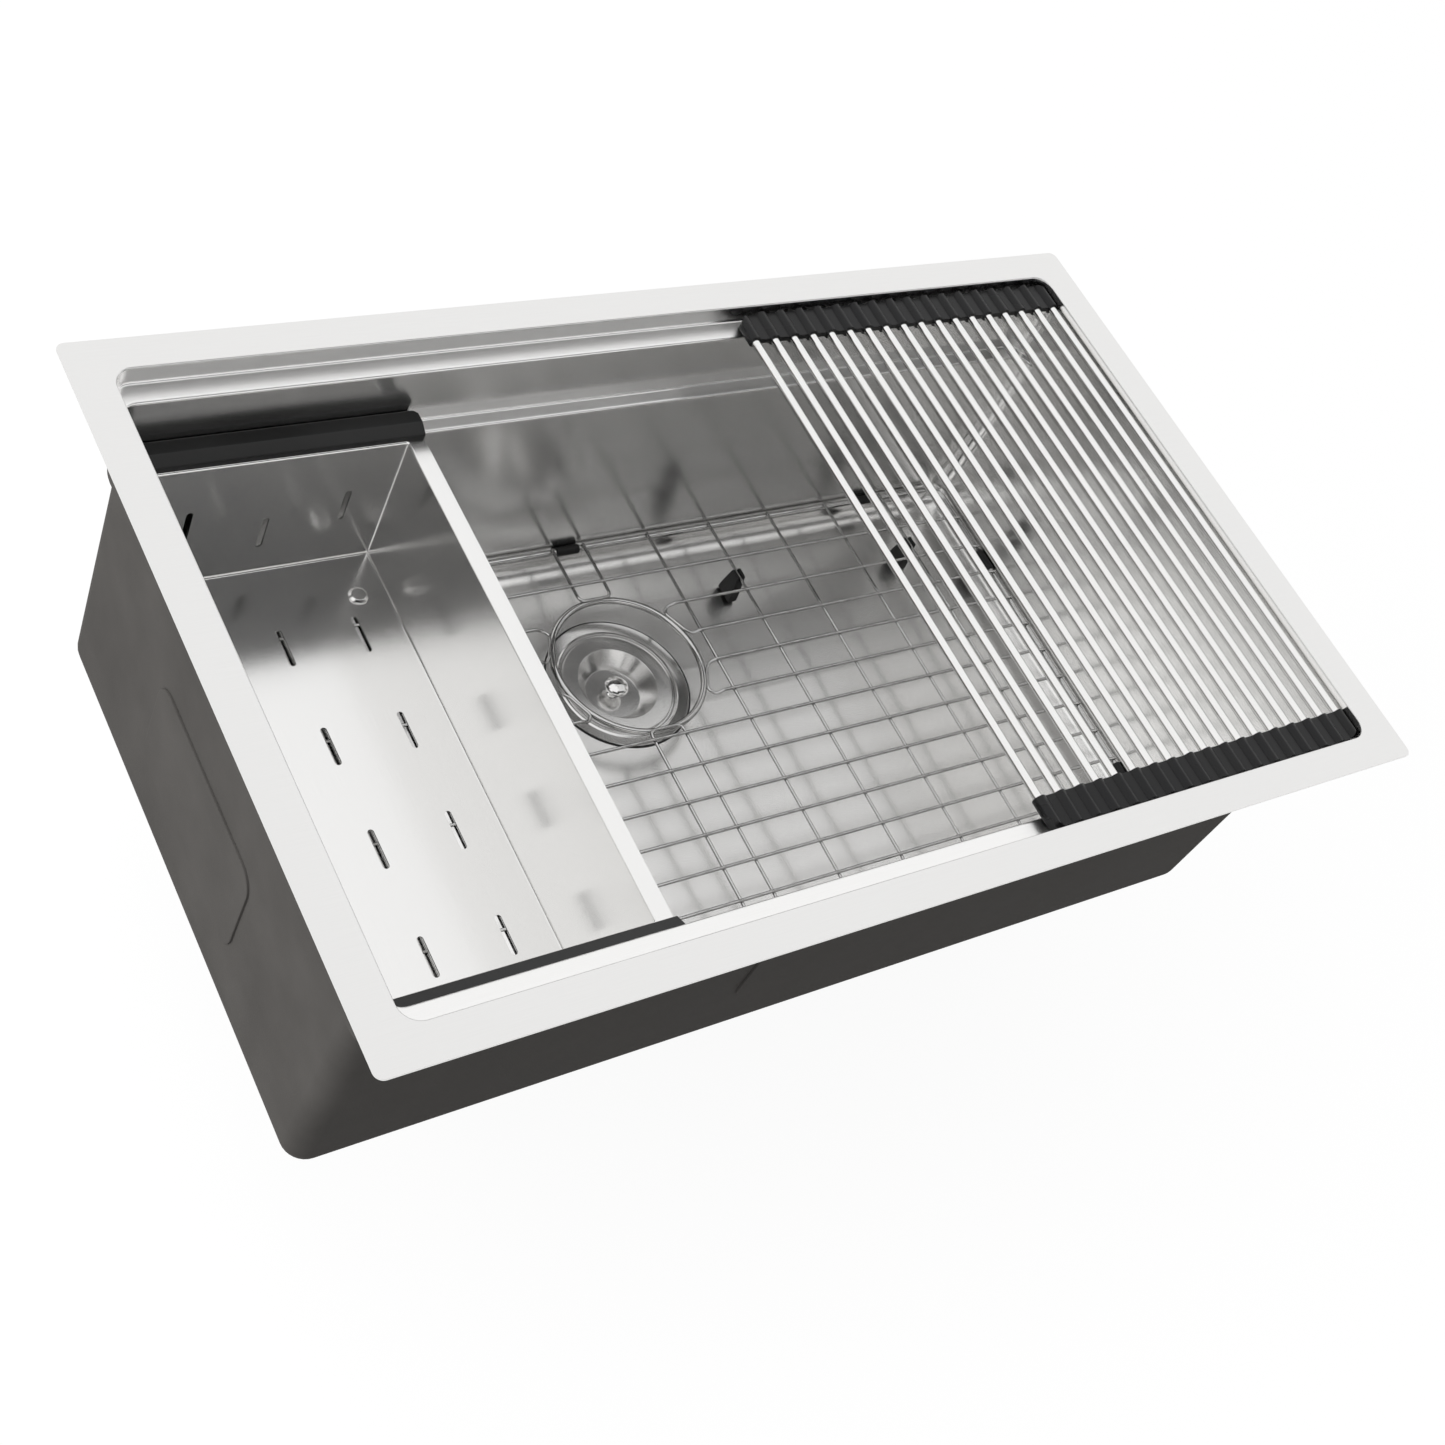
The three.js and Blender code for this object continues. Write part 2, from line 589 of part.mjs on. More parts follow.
// A six-sided nut that holds the tailpiece's lip up against the outlet.
function couplingNut(pipeTop) {
  const shelf = pipeTop - PIPE_LIP_HEIGHT - SEAT_GAP;
  const bottom = shelf - COUPLING_NUT_FLOOR;
  const hexagon = upright(OUTLET_RADIUS + COUPLING_NUT_WALL, bottom, bottom + COUPLING_NUT_HEIGHT, 6);
  const wide = upright(OUTLET_RADIUS + SEAT_GAP, shelf, pipeTop + COUPLING_NUT_HEIGHT);
  const narrow = upright(OUTLET_RADIUS - PIPE_STEP + SEAT_GAP, bottom - CUT, shelf + 1);
  return hexagon.subtract(wide).subtract(narrow);
}

// A cup whose flared rim lies on the body's cone, with a post in its middle to lift it by.
function addBasket(parent) {
  const rim = BORE_RADIUS - BASKET_CLEARANCE;
  const wall = THROAT_RADIUS - BASKET_CLEARANCE;
  const sheet = BASKET_SHEET;
  const slant = sheet * Math.SQRT2;
  const corner = slant - sheet;
  const under = (radius) => BASKET_SEAT - (BORE_RADIUS - radius) + SEAT_GAP * Math.SQRT2;
  const bottom = under(wall) - BASKET_DEPTH;
  const postTop = bottom + sheet + POST_HEIGHT;
  const profile = [
    [0, bottom],
    [wall - BASKET_BEND, bottom],
    [wall, bottom + BASKET_BEND],
    [wall, under(wall)],
    [rim, under(rim)],
    [rim, under(rim) + slant],
    [wall - sheet, under(wall - sheet) + slant],
    [wall - sheet, bottom + BASKET_BEND + corner],
    [wall - BASKET_BEND - corner, bottom + sheet],
    [POST_RADIUS, bottom + sheet],
    [POST_RADIUS, postTop - GRIP_HEIGHT],
    [GRIP_RADIUS, postTop - GRIP_HEIGHT],
    [GRIP_RADIUS, postTop],
    [0, postTop],
  ];
  let basket = turned(profile, DRAIN_SIDES);
  const drill = upright(BASKET_HOLE_RADIUS, 0, CUT, 6);
  for (let row = 0; row < BASKET_HOLE_ROWS; row++) {
    const height = bottom + BASKET_HOLE_RISE + row * BASKET_ROW_PITCH;
    const sideways = drill.rotate([0, 90, 0]).translate([wall - CUT / 2, 0, height]);
    for (let i = 0; i < BASKET_HOLES; i++) {
      basket = basket.subtract(sideways.rotate([0, 0, ((i + row / 2) * 360) / BASKET_HOLES]));
    }
  }
  const downwards = drill.translate([BASKET_FLOOR_CIRCLE, 0, bottom - CUT / 2]);
  for (let i = 0; i < BASKET_FLOOR_HOLES; i++) {
    basket = basket.subtract(downwards.rotate([0, 0, (i * 360) / BASKET_FLOOR_HOLES]));
  }
  addPiece(parent, "strainer_basket", "satin_steel", atDrain(basket));
}

// A dished cover that lies on the flange's ledge, over the basket's rim, with a mushroom knob.
function addLid(parent) {
  const under = FLANGE_LEDGE_TOP + SEAT_GAP;
  const top = under + LID_SHEET;
  const dish = top - LID_DISH_DEPTH;
  const edge = BORE_RADIUS + FLANGE_LEDGE - LID_CLEARANCE;
  const coneTop = edge - LID_RING_WIDTH;
  const coneBottom = coneTop - LID_DISH_SLOPE;
  const plate = [
    [0, dish - LID_SHEET],
    [coneBottom + LID_SHEET / 2, dish - LID_SHEET],
    [coneTop + LID_SHEET / 2, under],
    [edge, under],
    [edge, top],
    [coneTop, top],
    [coneBottom, dish],
    [0, dish],
  ];
  addPiece(parent, "basket_lid", "satin_steel", atDrain(turned(plate, DRAIN_SIDES)));

  const foot = dish + SEAT_GAP;
  const knobTop = foot + KNOB_HEIGHT;
  const knob = [
    [0, foot],
    [KNOB_FOOT_RADIUS, foot],
    [KNOB_FOOT_RADIUS, foot + KNOB_FOOT_HEIGHT],
    [KNOB_STEM_RADIUS, foot + KNOB_FOOT_HEIGHT],
    [KNOB_STEM_RADIUS, knobTop - KNOB_HEAD_HEIGHT],
  ];
  const steps = 4;
  for (let step = 0; step < steps; step++) {
    const angle = ((step / steps) * Math.PI) / 2;
    const drop = KNOB_DOME_HEIGHT * (1 - Math.sin(angle));
    knob.push([KNOB_RADIUS * Math.cos(angle), knobTop - drop]);
  }
  knob.push([0, knobTop]);
  addPiece(parent, "lid_knob", "polished_steel", atDrain(turned(knob, 16)));
}

// ---- bottom grid -------------------------------------------------------------------------------
const CROSS_REACH = facetReach(CROSS_WIRE, CROSS_SIDES);
const WELD_REACH = facetReach(FRAME_WIRE, FRAME_SIDES) + CROSS_REACH - WELD_SINK;
const FRAME_X = OPENING_WIDTH / 2 - BUMPER_RADIUS - SEAT_GAP;
const FRAME_Y = LOWER_LEDGE_Y - BUMPER_RADIUS - SEAT_GAP;
const FRAME_Z = -BOWL_DEPTH + FRAME_HEIGHT;
const COLUMN_Z = FRAME_Z + WELD_REACH;
const ROW_Z = COLUMN_Z + 2 * CROSS_REACH - WELD_SINK;
const RING_RADIUS = FLANGE_RADIUS + RING_CLEARANCE + FRAME_WIRE / 2;

const FIRST_COLUMN = BUMPER_LENGTH / 2 + CROSS_WIRE / 2 + BUMPER_GAP;
const COLUMN_PITCH = (FRAME_X - FRAME_COLUMN_GAP - FIRST_COLUMN) / COLUMNS_EACH_WAY;
const columnX = (i) => FIRST_COLUMN + i * COLUMN_PITCH;

const LAST_ROW = FRAME_Y - FRAME_ROW_GAP;
const ROW_PITCH = (LAST_ROW - OUTER_ROW_GAP) / (ROWS_EACH_WAY - 0.5);

function rowYs() {
  const ys = [];
  for (let i = 0; i < ROWS_EACH_WAY; i++) ys.push(ROW_PITCH * (i + 0.5));
  ys.push(LAST_ROW);
  return ys;
}

function frameWire() {
  const ring = rectangleRing(FRAME_X, FRAME_Y, FRAME_CORNER, FRAME_Z);
  return wire(ring.map((p) => [p.x, p.y, p.z]), FRAME_WIRE, FRAME_SIDES, true);
}

function drainRing() {
  const points = [];
  for (let i = 0; i < RING_STEPS; i++) {
    const angle = (i / RING_STEPS) * 2 * Math.PI;
    points.push([RING_RADIUS * Math.cos(angle), DRAIN_Y + RING_RADIUS * Math.sin(angle), FRAME_Z]);
  }
  return wire(points, FRAME_WIRE, FRAME_SIDES, true);
}

const crossWire = (points) => wire(points, CROSS_WIRE, CROSS_SIDES);

function fullColumn(x) {
  const end = FRAME_Y + WIRE_END;
  return crossWire([[x, -end, COLUMN_Z], [x, end, COLUMN_Z]]);
}

function rowEnd(side, y) {
  const outer = side * (FRAME_X + WIRE_END);
  const shoulder = side * (FRAME_X - FRAME_WIRE / 2);
  const inner = shoulder - side * ROW_DIP;
  return [[outer, y, COLUMN_Z], [shoulder, y, COLUMN_Z], [inner, y, ROW_Z]];
}

function fullRow(y) {
  return crossWire([...rowEnd(-1, y), ...rowEnd(1, y).reverse()]);
}

// How far out a wire that leans on the outside of the drain's ring lies, in line with y.
function besideRing(y) {
  const reach = RING_RADIUS + Math.sqrt(WELD_REACH ** 2 - HAIRPIN_RISE ** 2);
  return Math.sqrt(Math.max(reach ** 2 - (y - DRAIN_Y) ** 2, 0));
}

function hairpinLeg(side, y, bend) {
  const x = besideRing(y + bend);
  const z = FRAME_Z + HAIRPIN_RISE;
  return [
    [side * (x + HAIRPIN_BEND + HAIRPIN_DIP), y, ROW_Z],
    [side * (x + HAIRPIN_BEND), y, z],
    [side * x, y + bend, z],
  ];
}

// A wire that comes in along y0, bends along the drain's ring, and goes back along y1.
function rowHairpin(side, y0, y1) {
  const inwards = [...rowEnd(side, y0), ...hairpinLeg(side, y0, HAIRPIN_BEND)];
  const outwards = [...rowEnd(side, y1), ...hairpinLeg(side, y1, -HAIRPIN_BEND)].reverse();
  return crossWire([...inwards, ...outwards]);
}

function shortRow(side, y) {
  return crossWire([...rowEnd(side, y), ...hairpinLeg(side, y, 0)]);
}

// The two middle columns, joined into one hairpin at the ring.
function columnHairpin(side) {
  const end = side * (FRAME_Y + WIRE_END);
  const turn = DRAIN_Y + side * RING_RADIUS;
  const bend = -side * HAIRPIN_BEND;
  const x = FIRST_COLUMN;
  const points = [
    [-x, end, COLUMN_Z],
    [-x, turn - bend, COLUMN_Z],
    [-x + HAIRPIN_BEND, turn, COLUMN_Z],
    [x - HAIRPIN_BEND, turn, COLUMN_Z],
    [x, turn - bend, COLUMN_Z],
    [x, end, COLUMN_Z],
  ];
  return crossWire(points);
}

function addGrid(parent) {
  const wires = [frameWire(), drainRing(), columnHairpin(1), columnHairpin(-1)];
  for (let i = 1; i <= COLUMNS_EACH_WAY; i++) wires.push(fullColumn(columnX(i)), fullColumn(-columnX(i)));
  const ys = rowYs();
  const throughRing = (y) => Math.abs(y - DRAIN_Y) < RING_RADIUS;
  for (const y of ys) {
    wires.push(fullRow(-y));
    if (!throughRing(y)) wires.push(fullRow(y));
  }
  const cut = ys.filter(throughRing);
  for (let i = 0; i < cut.length; i += 2) {
    const isPair = i + 1 < cut.length;
    for (const side of [-1, 1]) {
      wires.push(isPair ? rowHairpin(side, cut[i], cut[i + 1]) : shortRow(side, cut[i]));
    }
  }
  addPiece(parent, "bottom_grid", "polished_steel", joined(wires));
  addGridFeet(parent);
  addGridBumpers(parent);
}

// A rubber wedge that stands on the floor and holds a column wire in the notch in its top.
function gridFoot() {
  const bottom = -BOWL_DEPTH + SEAT_GAP;
  const top = COLUMN_Z + CROSS_WIRE / 2 + FOOT_ABOVE_WIRE;
  const padHalf = FOOT_BOTTOM / 2 - FOOT_PAD_INSET;
  const side = [
    [-FOOT_BOTTOM / 2, bottom],
    [FOOT_BOTTOM / 2, bottom],
    [padHalf, bottom + FOOT_PAD_HEIGHT],
    [FOOT_TOP / 2, top],
    [-FOOT_TOP / 2, top],
    [-padHalf, bottom + FOOT_PAD_HEIGHT],
  ];
  const wedge = alongX(side, -FOOT_THICKNESS / 2, FOOT_THICKNESS / 2);
  const half = CROSS_WIRE / 2 + SEAT_GAP;
  const notch = block(-half, half, -FOOT_BOTTOM, FOOT_BOTTOM, COLUMN_Z - half, top + 1);
  return wedge.subtract(notch);
}

function addGridFeet(parent) {
  let count = 0;
  for (const column of FOOT_COLUMNS) {
    for (const [sideX, sideY] of [[-1, -1], [1, -1], [-1, 1], [1, 1]]) {
      count += 1;
      const foot = moved(gridFoot(), sideX * columnX(column), sideY * FOOT_Y, 0);
      addPiece(parent, "grid_foot_" + count, "black_rubber", foot);
    }
  }
}

function addGridBumpers(parent) {
  const half = BUMPER_LENGTH / 2;
  const sleeve = tubeWall(FRAME_WIRE / 2 + BUMPER_BORE_GAP, BUMPER_RADIUS, -half, half, 8);
  const outerX = columnX(COLUMNS_EACH_WAY) - FIRST_COLUMN;
  const outerY = ROW_PITCH * (ROWS_EACH_WAY - 1);
  const places = [];
  for (const side of [-1, 1]) {
    for (const x of [-outerX, 0, outerX]) places.push([x, side * FRAME_Y, [0, 90, 0]]);
    for (const y of [-outerY, outerY]) places.push([side * FRAME_X, y, [90, 0, 0]]);
  }
  places.forEach(([x, y, turn], i) => {
    const bumper = sleeve.rotate(turn).translate([x, y, FRAME_Z]);
    addPiece(parent, "grid_bumper_" + (i + 1), "black_rubber", bumper);
  });
}

// ---- colander ----------------------------------------------------------------------------------
const TRAY_DEPTH = 2 * (LOWER_LEDGE_Y - TRAY_WALL_GAP);
const TRAY_TOP = -LOWER_LEDGE_DROP + TRAY_FLANGE_RISE;
const TRAY_FLOOR = TRAY_TOP - TRAY_HEIGHT;
const RAIL_LENGTH = TRAY_WIDTH + 2 * (TRAY_FLANGE + RAIL_OVERHANG);
const RAIL_FRONT = TRAY_DEPTH / 2 + TRAY_SHEET + RAIL_TRAY_GAP;
const RAIL_BACK = UPPER_LEDGE_Y - SEAT_GAP;
const COLANDER_X = -OPENING_WIDTH / 2 + COLANDER_GAP + RAIL_LENGTH / 2;

// A slot with round ends, cut straight through a sheet that lies in the XY plane.
function slotCutter(thickness) {
  const half = SLOT_LENGTH / 2 - SLOT_WIDTH / 2;
  const shape = new THREE.Shape();
  shape.absarc(0, half, SLOT_WIDTH / 2, 0, Math.PI, false);
  shape.absarc(0, -half, SLOT_WIDTH / 2, Math.PI, 2 * Math.PI, false);
  return raised(shape, -thickness, thickness, 3);
}

// The place of one of `count` copies spread evenly over a length about the middle.
const spread = (i, count, length) => (i / (count - 1) - 0.5) * length;

function colanderTray() {
  const halfX = TRAY_WIDTH / 2;
  const halfY = TRAY_DEPTH / 2;
  const t = TRAY_SHEET;
  const outer = block(-halfX - t, halfX + t, -halfY - t, halfY + t, TRAY_FLOOR - t, TRAY_TOP);
  const inner = block(-halfX, halfX, -halfY, halfY, TRAY_FLOOR, TRAY_TOP + 1);
  const sideReach = halfX + TRAY_FLANGE;
  const endReach = halfY + t + RAIL_TONGUE;
  const sideFlanges = block(-sideReach, sideReach, -halfY - t, halfY + t, TRAY_TOP - t, TRAY_TOP);
  const endFlanges = block(-halfX - t, halfX + t, -endReach, endReach, TRAY_TOP - t, TRAY_TOP);
  let tray = joined([outer, sideFlanges, endFlanges]).subtract(inner);
  const drill = slotCutter(3 * t);
  for (let column = 0; column < SLOT_COLUMNS; column++) {
    const x = spread(column, SLOT_COLUMNS, TRAY_WIDTH - 2 * SLOT_SIDE_MARGIN);
    for (let row = 0; row < SLOT_ROWS; row++) {
      const y = spread(row, SLOT_ROWS, TRAY_DEPTH - 2 * SLOT_END_MARGIN);
      tray = tray.subtract(drill.translate([x, y, TRAY_FLOOR]));
    }
    const isMiddle = column === (SLOT_COLUMNS - 1) / 2;
    const z = TRAY_TOP - WALL_SLOT_DROP - (isMiddle ? WALL_SLOT_STAGGER : 0);
    for (const side of [-1, 1]) {
      tray = tray.subtract(drill.rotate([90, 0, 0]).translate([x, side * halfY, z]));
    }
  }
  const studX = halfX - STUD_SIDE_MARGIN;
  const studY = halfY - STUD_END_MARGIN;
  for (const x of [-studX, studX]) {
    for (const y of [-studY, studY]) tray = tray.add(moved(trayStud(), x, y, 0));
  }
  return tray;
}

// A domed stud that goes through the tray's floor and stands a little below it.
function trayStud() {
  const floor = TRAY_FLOOR;
  const foot = floor - TRAY_SHEET - STUD_FOOT_HEIGHT;
  const stud = [
    [0, foot],
    [STUD_FOOT_RADIUS, foot],
    [STUD_FOOT_RADIUS, floor - TRAY_SHEET / 2],
    [STUD_HEAD_RADIUS, floor - TRAY_SHEET / 2],
    [STUD_HEAD_RADIUS, floor + STUD_HEAD_EDGE],
    [STUD_HEAD_RADIUS - STUD_HEAD_CHAMFER, floor + STUD_HEAD_HEIGHT],
    [0, floor + STUD_HEAD_HEIGHT],
  ];
  return turned(stud, 8);
}

// The rail's section in [y, z], for the back of the sink.
function railSection() {
  const bottom = -LOWER_LEDGE_DROP + SEAT_GAP;
  const top = bottom + RAIL_HEIGHT;
  return [
    [RAIL_FRONT, bottom],
    [RAIL_BACK, bottom],
    [RAIL_BACK, top - RAIL_TOP_CHAMFER],
    [RAIL_BACK - RAIL_TOP_CHAMFER, top],
    [RAIL_FRONT + RAIL_FRONT_CHAMFER, top],
    [RAIL_FRONT, top - RAIL_FRONT_DROP],
  ];
}

// The rail seen from above: its back corners are cut off, to pass the bowl's round corners.
function railPlan() {
  const half = RAIL_LENGTH / 2;
  const shape = new THREE.Shape([
    new THREE.Vector2(-half, 0),
    new THREE.Vector2(half, 0),
    new THREE.Vector2(half, RAIL_BACK - RAIL_END_CHAMFER),
    new THREE.Vector2(half - RAIL_END_CHAMFER, RAIL_BACK),
    new THREE.Vector2(-half + RAIL_END_CHAMFER, RAIL_BACK),
    new THREE.Vector2(-half, RAIL_BACK - RAIL_END_CHAMFER),
  ]);
  return raised(shape, -LOWER_LEDGE_DROP, 0);
}

function addColander(parent) {
  const group = new THREE.Group();
  group.position.x = COLANDER_X;
  parent.add(group);
  addPiece(group, "colander_tray", "satin_steel", colanderTray());
  const halfX = TRAY_WIDTH / 2 + TRAY_SHEET + SEAT_GAP;
  const reach = TRAY_DEPTH / 2 + TRAY_SHEET + RAIL_TONGUE + SEAT_GAP;
  const groove = block(-halfX, halfX, -reach, reach, TRAY_TOP - TRAY_SHEET - SEAT_GAP, TRAY_TOP + SEAT_GAP);
  const rail = alongX(railSection(), -RAIL_LENGTH / 2, RAIL_LENGTH / 2).intersect(railPlan());
  addPiece(group, "colander_back_rail", "black_plastic", rail.subtract(groove));
  addPiece(group, "colander_front_rail", "black_plastic", rail.rotate([0, 0, 180]).subtract(groove));
}

// ---- roll-up mat -------------------------------------------------------------------------------
const MAT_Z = -UPPER_LEDGE_DROP + SEAT_GAP + STRIP_BUMP_RADIUS;
const STRIP_OUTER_Y = OPENING_DEPTH / 2 - MAT_SIDE_GAP;
const LAST_ROD_X = OPENING_WIDTH / 2 - MAT_END_GAP - STRIP_BUMP_RADIUS;
const rodX = (i) => LAST_ROD_X - (RODS - 1 - i) * ROD_PITCH;

// A band with a round bump over and under each rod.
function stripOutline() {
  const shape = new THREE.Shape();
  const half = STRIP_WEB / 2;
  const tilt = Math.asin(half / STRIP_BUMP_RADIUS);
  shape.absarc(rodX(0), MAT_Z, STRIP_BUMP_RADIUS, Math.PI - tilt, tilt, true);
  for (let i = 1; i < RODS; i++) {
    shape.absarc(rodX(i), MAT_Z, STRIP_BUMP_RADIUS, Math.PI - tilt, tilt, true);
  }
  for (let i = RODS - 1; i >= 0; i--) {
    shape.absarc(rodX(i), MAT_Z, STRIP_BUMP_RADIUS, -tilt, Math.PI + tilt, true);
  }
  return shape;
}

function addMat(parent) {
  const rodHalf = STRIP_OUTER_Y - STRIP_WIDTH + ROD_IN_STRIP;
  const settings = { depth: STRIP_WIDTH, bevelEnabled: false, curveSegments: 2 };
  const band = new THREE.ExtrudeGeometry(stripOutline(), settings);
  const strip = solidFrom(band.rotateX(Math.PI / 2));
  const left = rodX(0) - STRIP_BUMP_RADIUS;
  const right = rodX(RODS - 1) + STRIP_BUMP_RADIUS;
  const outline = roundedRectangle((right - left) / 2, STRIP_OUTER_Y, WALL_CORNER);
  const plan = moved(raised(outline, -UPPER_LEDGE_DROP, 0), (left + right) / 2, 0, 0);
  const bores = [];
  for (let i = 0; i < RODS; i++) {
    const bore = upright(ROD_RADIUS + SEAT_GAP, -rodHalf - SEAT_GAP, rodHalf + SEAT_GAP, ROD_SIDES);
    bores.push(bore.rotate([90, 0, 0]).translate([rodX(i), 0, MAT_Z]));
  }
  const cutter = joined(bores);
  const back = strip.translate([0, STRIP_OUTER_Y, 0]).intersect(plan).subtract(cutter);
  const front = strip.translate([0, -STRIP_OUTER_Y + STRIP_WIDTH, 0]).intersect(plan).subtract(cutter);
  addPiece(parent, "mat_back_strip", "black_rubber", back);
  addPiece(parent, "mat_front_strip", "black_rubber", front);
  for (let i = 0; i < RODS; i++) {
    const rod = upright(ROD_RADIUS, -rodHalf, rodHalf, ROD_SIDES).rotate([90, 0, 0]);
    addPiece(parent, "mat_rod_" + (i + 1), "satin_steel", rod.translate([rodX(i), 0, MAT_Z]));
  }
}

// ---- the whole sink ----------------------------------------------------------------------------
const sink = new THREE.Group();
addBowl(sink);
addCoatAndPads(sink);
addDrain(sink);
addBasket(sink);
addLid(sink);
addGrid(sink);
addColander(sink);
addMat(sink);

export default sink;
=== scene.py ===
import math

import bmesh
import bpy
from mathutils import Matrix, Vector


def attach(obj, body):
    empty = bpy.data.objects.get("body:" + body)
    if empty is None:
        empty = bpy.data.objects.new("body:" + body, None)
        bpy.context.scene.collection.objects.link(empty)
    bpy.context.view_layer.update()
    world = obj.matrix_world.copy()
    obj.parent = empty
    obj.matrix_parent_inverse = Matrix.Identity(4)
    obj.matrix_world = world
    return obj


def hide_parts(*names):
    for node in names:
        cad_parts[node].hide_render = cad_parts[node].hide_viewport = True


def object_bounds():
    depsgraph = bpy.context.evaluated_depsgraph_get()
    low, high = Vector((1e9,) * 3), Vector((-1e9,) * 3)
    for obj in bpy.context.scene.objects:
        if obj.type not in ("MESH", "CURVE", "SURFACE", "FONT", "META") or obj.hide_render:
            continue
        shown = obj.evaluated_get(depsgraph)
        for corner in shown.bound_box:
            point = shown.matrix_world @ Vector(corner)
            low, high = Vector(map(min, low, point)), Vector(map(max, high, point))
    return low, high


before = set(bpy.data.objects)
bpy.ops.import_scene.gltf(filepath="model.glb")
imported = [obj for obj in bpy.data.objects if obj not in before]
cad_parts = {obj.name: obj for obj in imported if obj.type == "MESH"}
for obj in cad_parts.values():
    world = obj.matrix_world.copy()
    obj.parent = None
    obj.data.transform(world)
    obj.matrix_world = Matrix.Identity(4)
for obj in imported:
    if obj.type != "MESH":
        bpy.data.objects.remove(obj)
cad_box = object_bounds()

# Shapes are drawn in millimetres, +Z up, from the middle of the opening, level with the rim's top.
MM = 0.001
SHEET = 1.5

# rim and bowl: halves are measured from the middle of the opening
RIM_HALF_X = 406.4
RIM_HALF_Y = 250.25
RIM_CORNER = 6
RIM_FOLD = 1.3
RIM_EDGE = 0.3
OPENING_HALF_X = 380
OPENING_HALF_Y = 225.7
WALL_CORNER = 13
UPPER_LEDGE_Z = -14.1
UPPER_LEDGE_Y = 209.9
LOWER_LEDGE_Z = -62
LOWER_LEDGE_Y = 198.6
CONVEX_FOLD = 2.2
CONCAVE_FOLD = 1.8
FLOOR_Z = -244
FLOOR_RADIUS = 15
FLOOR_FALL = 3
FLOOR_RING = 67
COAT_IN = 1.8
COAT_OUT = 2.6
COAT_HOLE = 63
PAD_GAP = 0.3
PAD_THICKNESS = 2.5
PAD_HALF_HEIGHT = 41
PAD_MIDDLE_Z = -149
PAD_CORNER = 16
END_PAD_HALF = 75
LONG_PAD_HALF = 80

# drain: radii are measured from its axis
DRAIN_Y = 83.5
RECESS_EDGE = 59
RECESS_FLOOR = 48
RECESS_DEPTH = 2.6
DRAIN_HOLE = 44.8
WASHER_IN = 43.9
WASHER_OUT = 52.9
GASKET_TOP = -251.4
GASKET_FOOT = -254.4
LOCK_NUT_TOP = -255.4
LOCK_NUT_FOOT = -266.4
LOCK_NUT_OUT = 51.9
LUGS = 8
LUG_SIZE = 8
COUPLING_CORNER = 29
BASKET_WALL = 37
BASKET_FLOOR = -293.7
BASKET_ROWS = (-279.7, -266.7)
ROW_HALF = 4.6
HOLES_A_ROW = 8
FLOOR_HOLES = 6
HOLE_RADIUS = 2.6

# bottom grid
FRAME_X = 376
FRAME_Y = 194.6
FRAME_Z = -222.5
FRAME_CORNER = 15
FRAME_WIRE = 5
CROSS_WIRE = 2.5
COLUMN_Z = -219.15
ROW_Z = -217.1
RING_RADIUS = 60.5
COLUMNS = (73, 132, 191, 250, 309)
FRONT_ROWS = (14, 42, 70, 98, 126, 158)
BACK_ROWS = (14, 158)
HAIRPIN_ROWS = ((42, 70), (98, 126))
MIDDLE_COLUMN = 14
WIRE_END = 1.3
FOOT_COLUMNS = (132, 309)
FOOT_Y = 142
FOOT_HALF_X = 4
FOOT_HALF_Y = 9
FOOT_BOTTOM = -243.7
FOOT_TOP = -217.1
NOTCH_HALF = 1.5
NOTCH_FLOOR = -220.9
SLEEVE_IN = 2.55
SLEEVE_OUT = 3.7
SLEEVE_HALF = 10
SLEEVES_X = (-295, 0, 295)
SLEEVES_Y = (-112, 112)

# colander
TRAY_X = -272
TRAY_HALF_X = 87
TRAY_HALF_Y = 187
TRAY_TOP = -56
TRAY_FLOOR = -172
TRAY_SHEET = 1
TRAY_FOLD = 1.3
SIDE_FLANGE = 12.5
END_FLANGE = 18
SLOT_HALF_WIDTH = 2.3
SLOT_HALF_LENGTH = 15
SLOT_COLUMNS = (-55.3, 0, 55.3)
FLOOR_SLOTS_Y = (-120.9, -40.3, 40.3, 120.9)
END_SLOTS_Z = (-113.5, -130.5, -113.5)
STUD_X = 65.5
STUD_Y = 152
RAIL_HALF = 100

# roll-up mat
RODS = 18
FIRST_ROD_X = 83.25
ROD_PITCH = 17.15
ROD_Z = -8.9
ROD_RADIUS = 3.1
ROD_HALF = 213.5
STRIP_IN_Y = 199.5
STRIP_OUT_Y = 223
BUMP_RADIUS = 4.9
WEB_HALF = 2.2
STRIP_LEFT = FIRST_ROD_X - BUMP_RADIUS
STRIP_RIGHT = FIRST_ROD_X + (RODS - 1) * ROD_PITCH + BUMP_RADIUS

CORNER_STEPS = 8
TURN_STEPS = 96
# level sheets fall by this much, since loops that lie in one plane can't be bridged surely
FALL = 0.02

# the camera, in metres and degrees, and the direction in which the room is brightest
CAMERA_PLACE = (-0.78241164, -0.57525488, 0.91417453)
CAMERA_TURN = (37.02844702, -21.34829815, -28.7722867)
CAMERA_LENS = 50.7315
BRIGHT_SIDE = (-0.45, 0.35, 0.82)
WHITE = (1, 1, 1, 1)


# ---- nodes -----------------------------------------------
def add_node(tree, kind, inputs=None, **settings):
    """A node with its settings, and with plain values in the inputs that are named."""
    node = tree.nodes.new("ShaderNode" + kind)
    for name, value in settings.items():
        setattr(node, name, value)
    for label, value in (inputs or {}).items():
        node.inputs[label].default_value = value
    return node


def vector_math(tree, operation, first, second):
    """Work on two vectors, of which the second is a socket or three plain numbers."""
    node = add_node(tree, "VectorMath", operation=operation)
    tree.links.new(first, node.inputs[0])
    if isinstance(second, tuple):
        node.inputs[1].default_value = second
    else:
        tree.links.new(second, node.inputs[1])
    return node


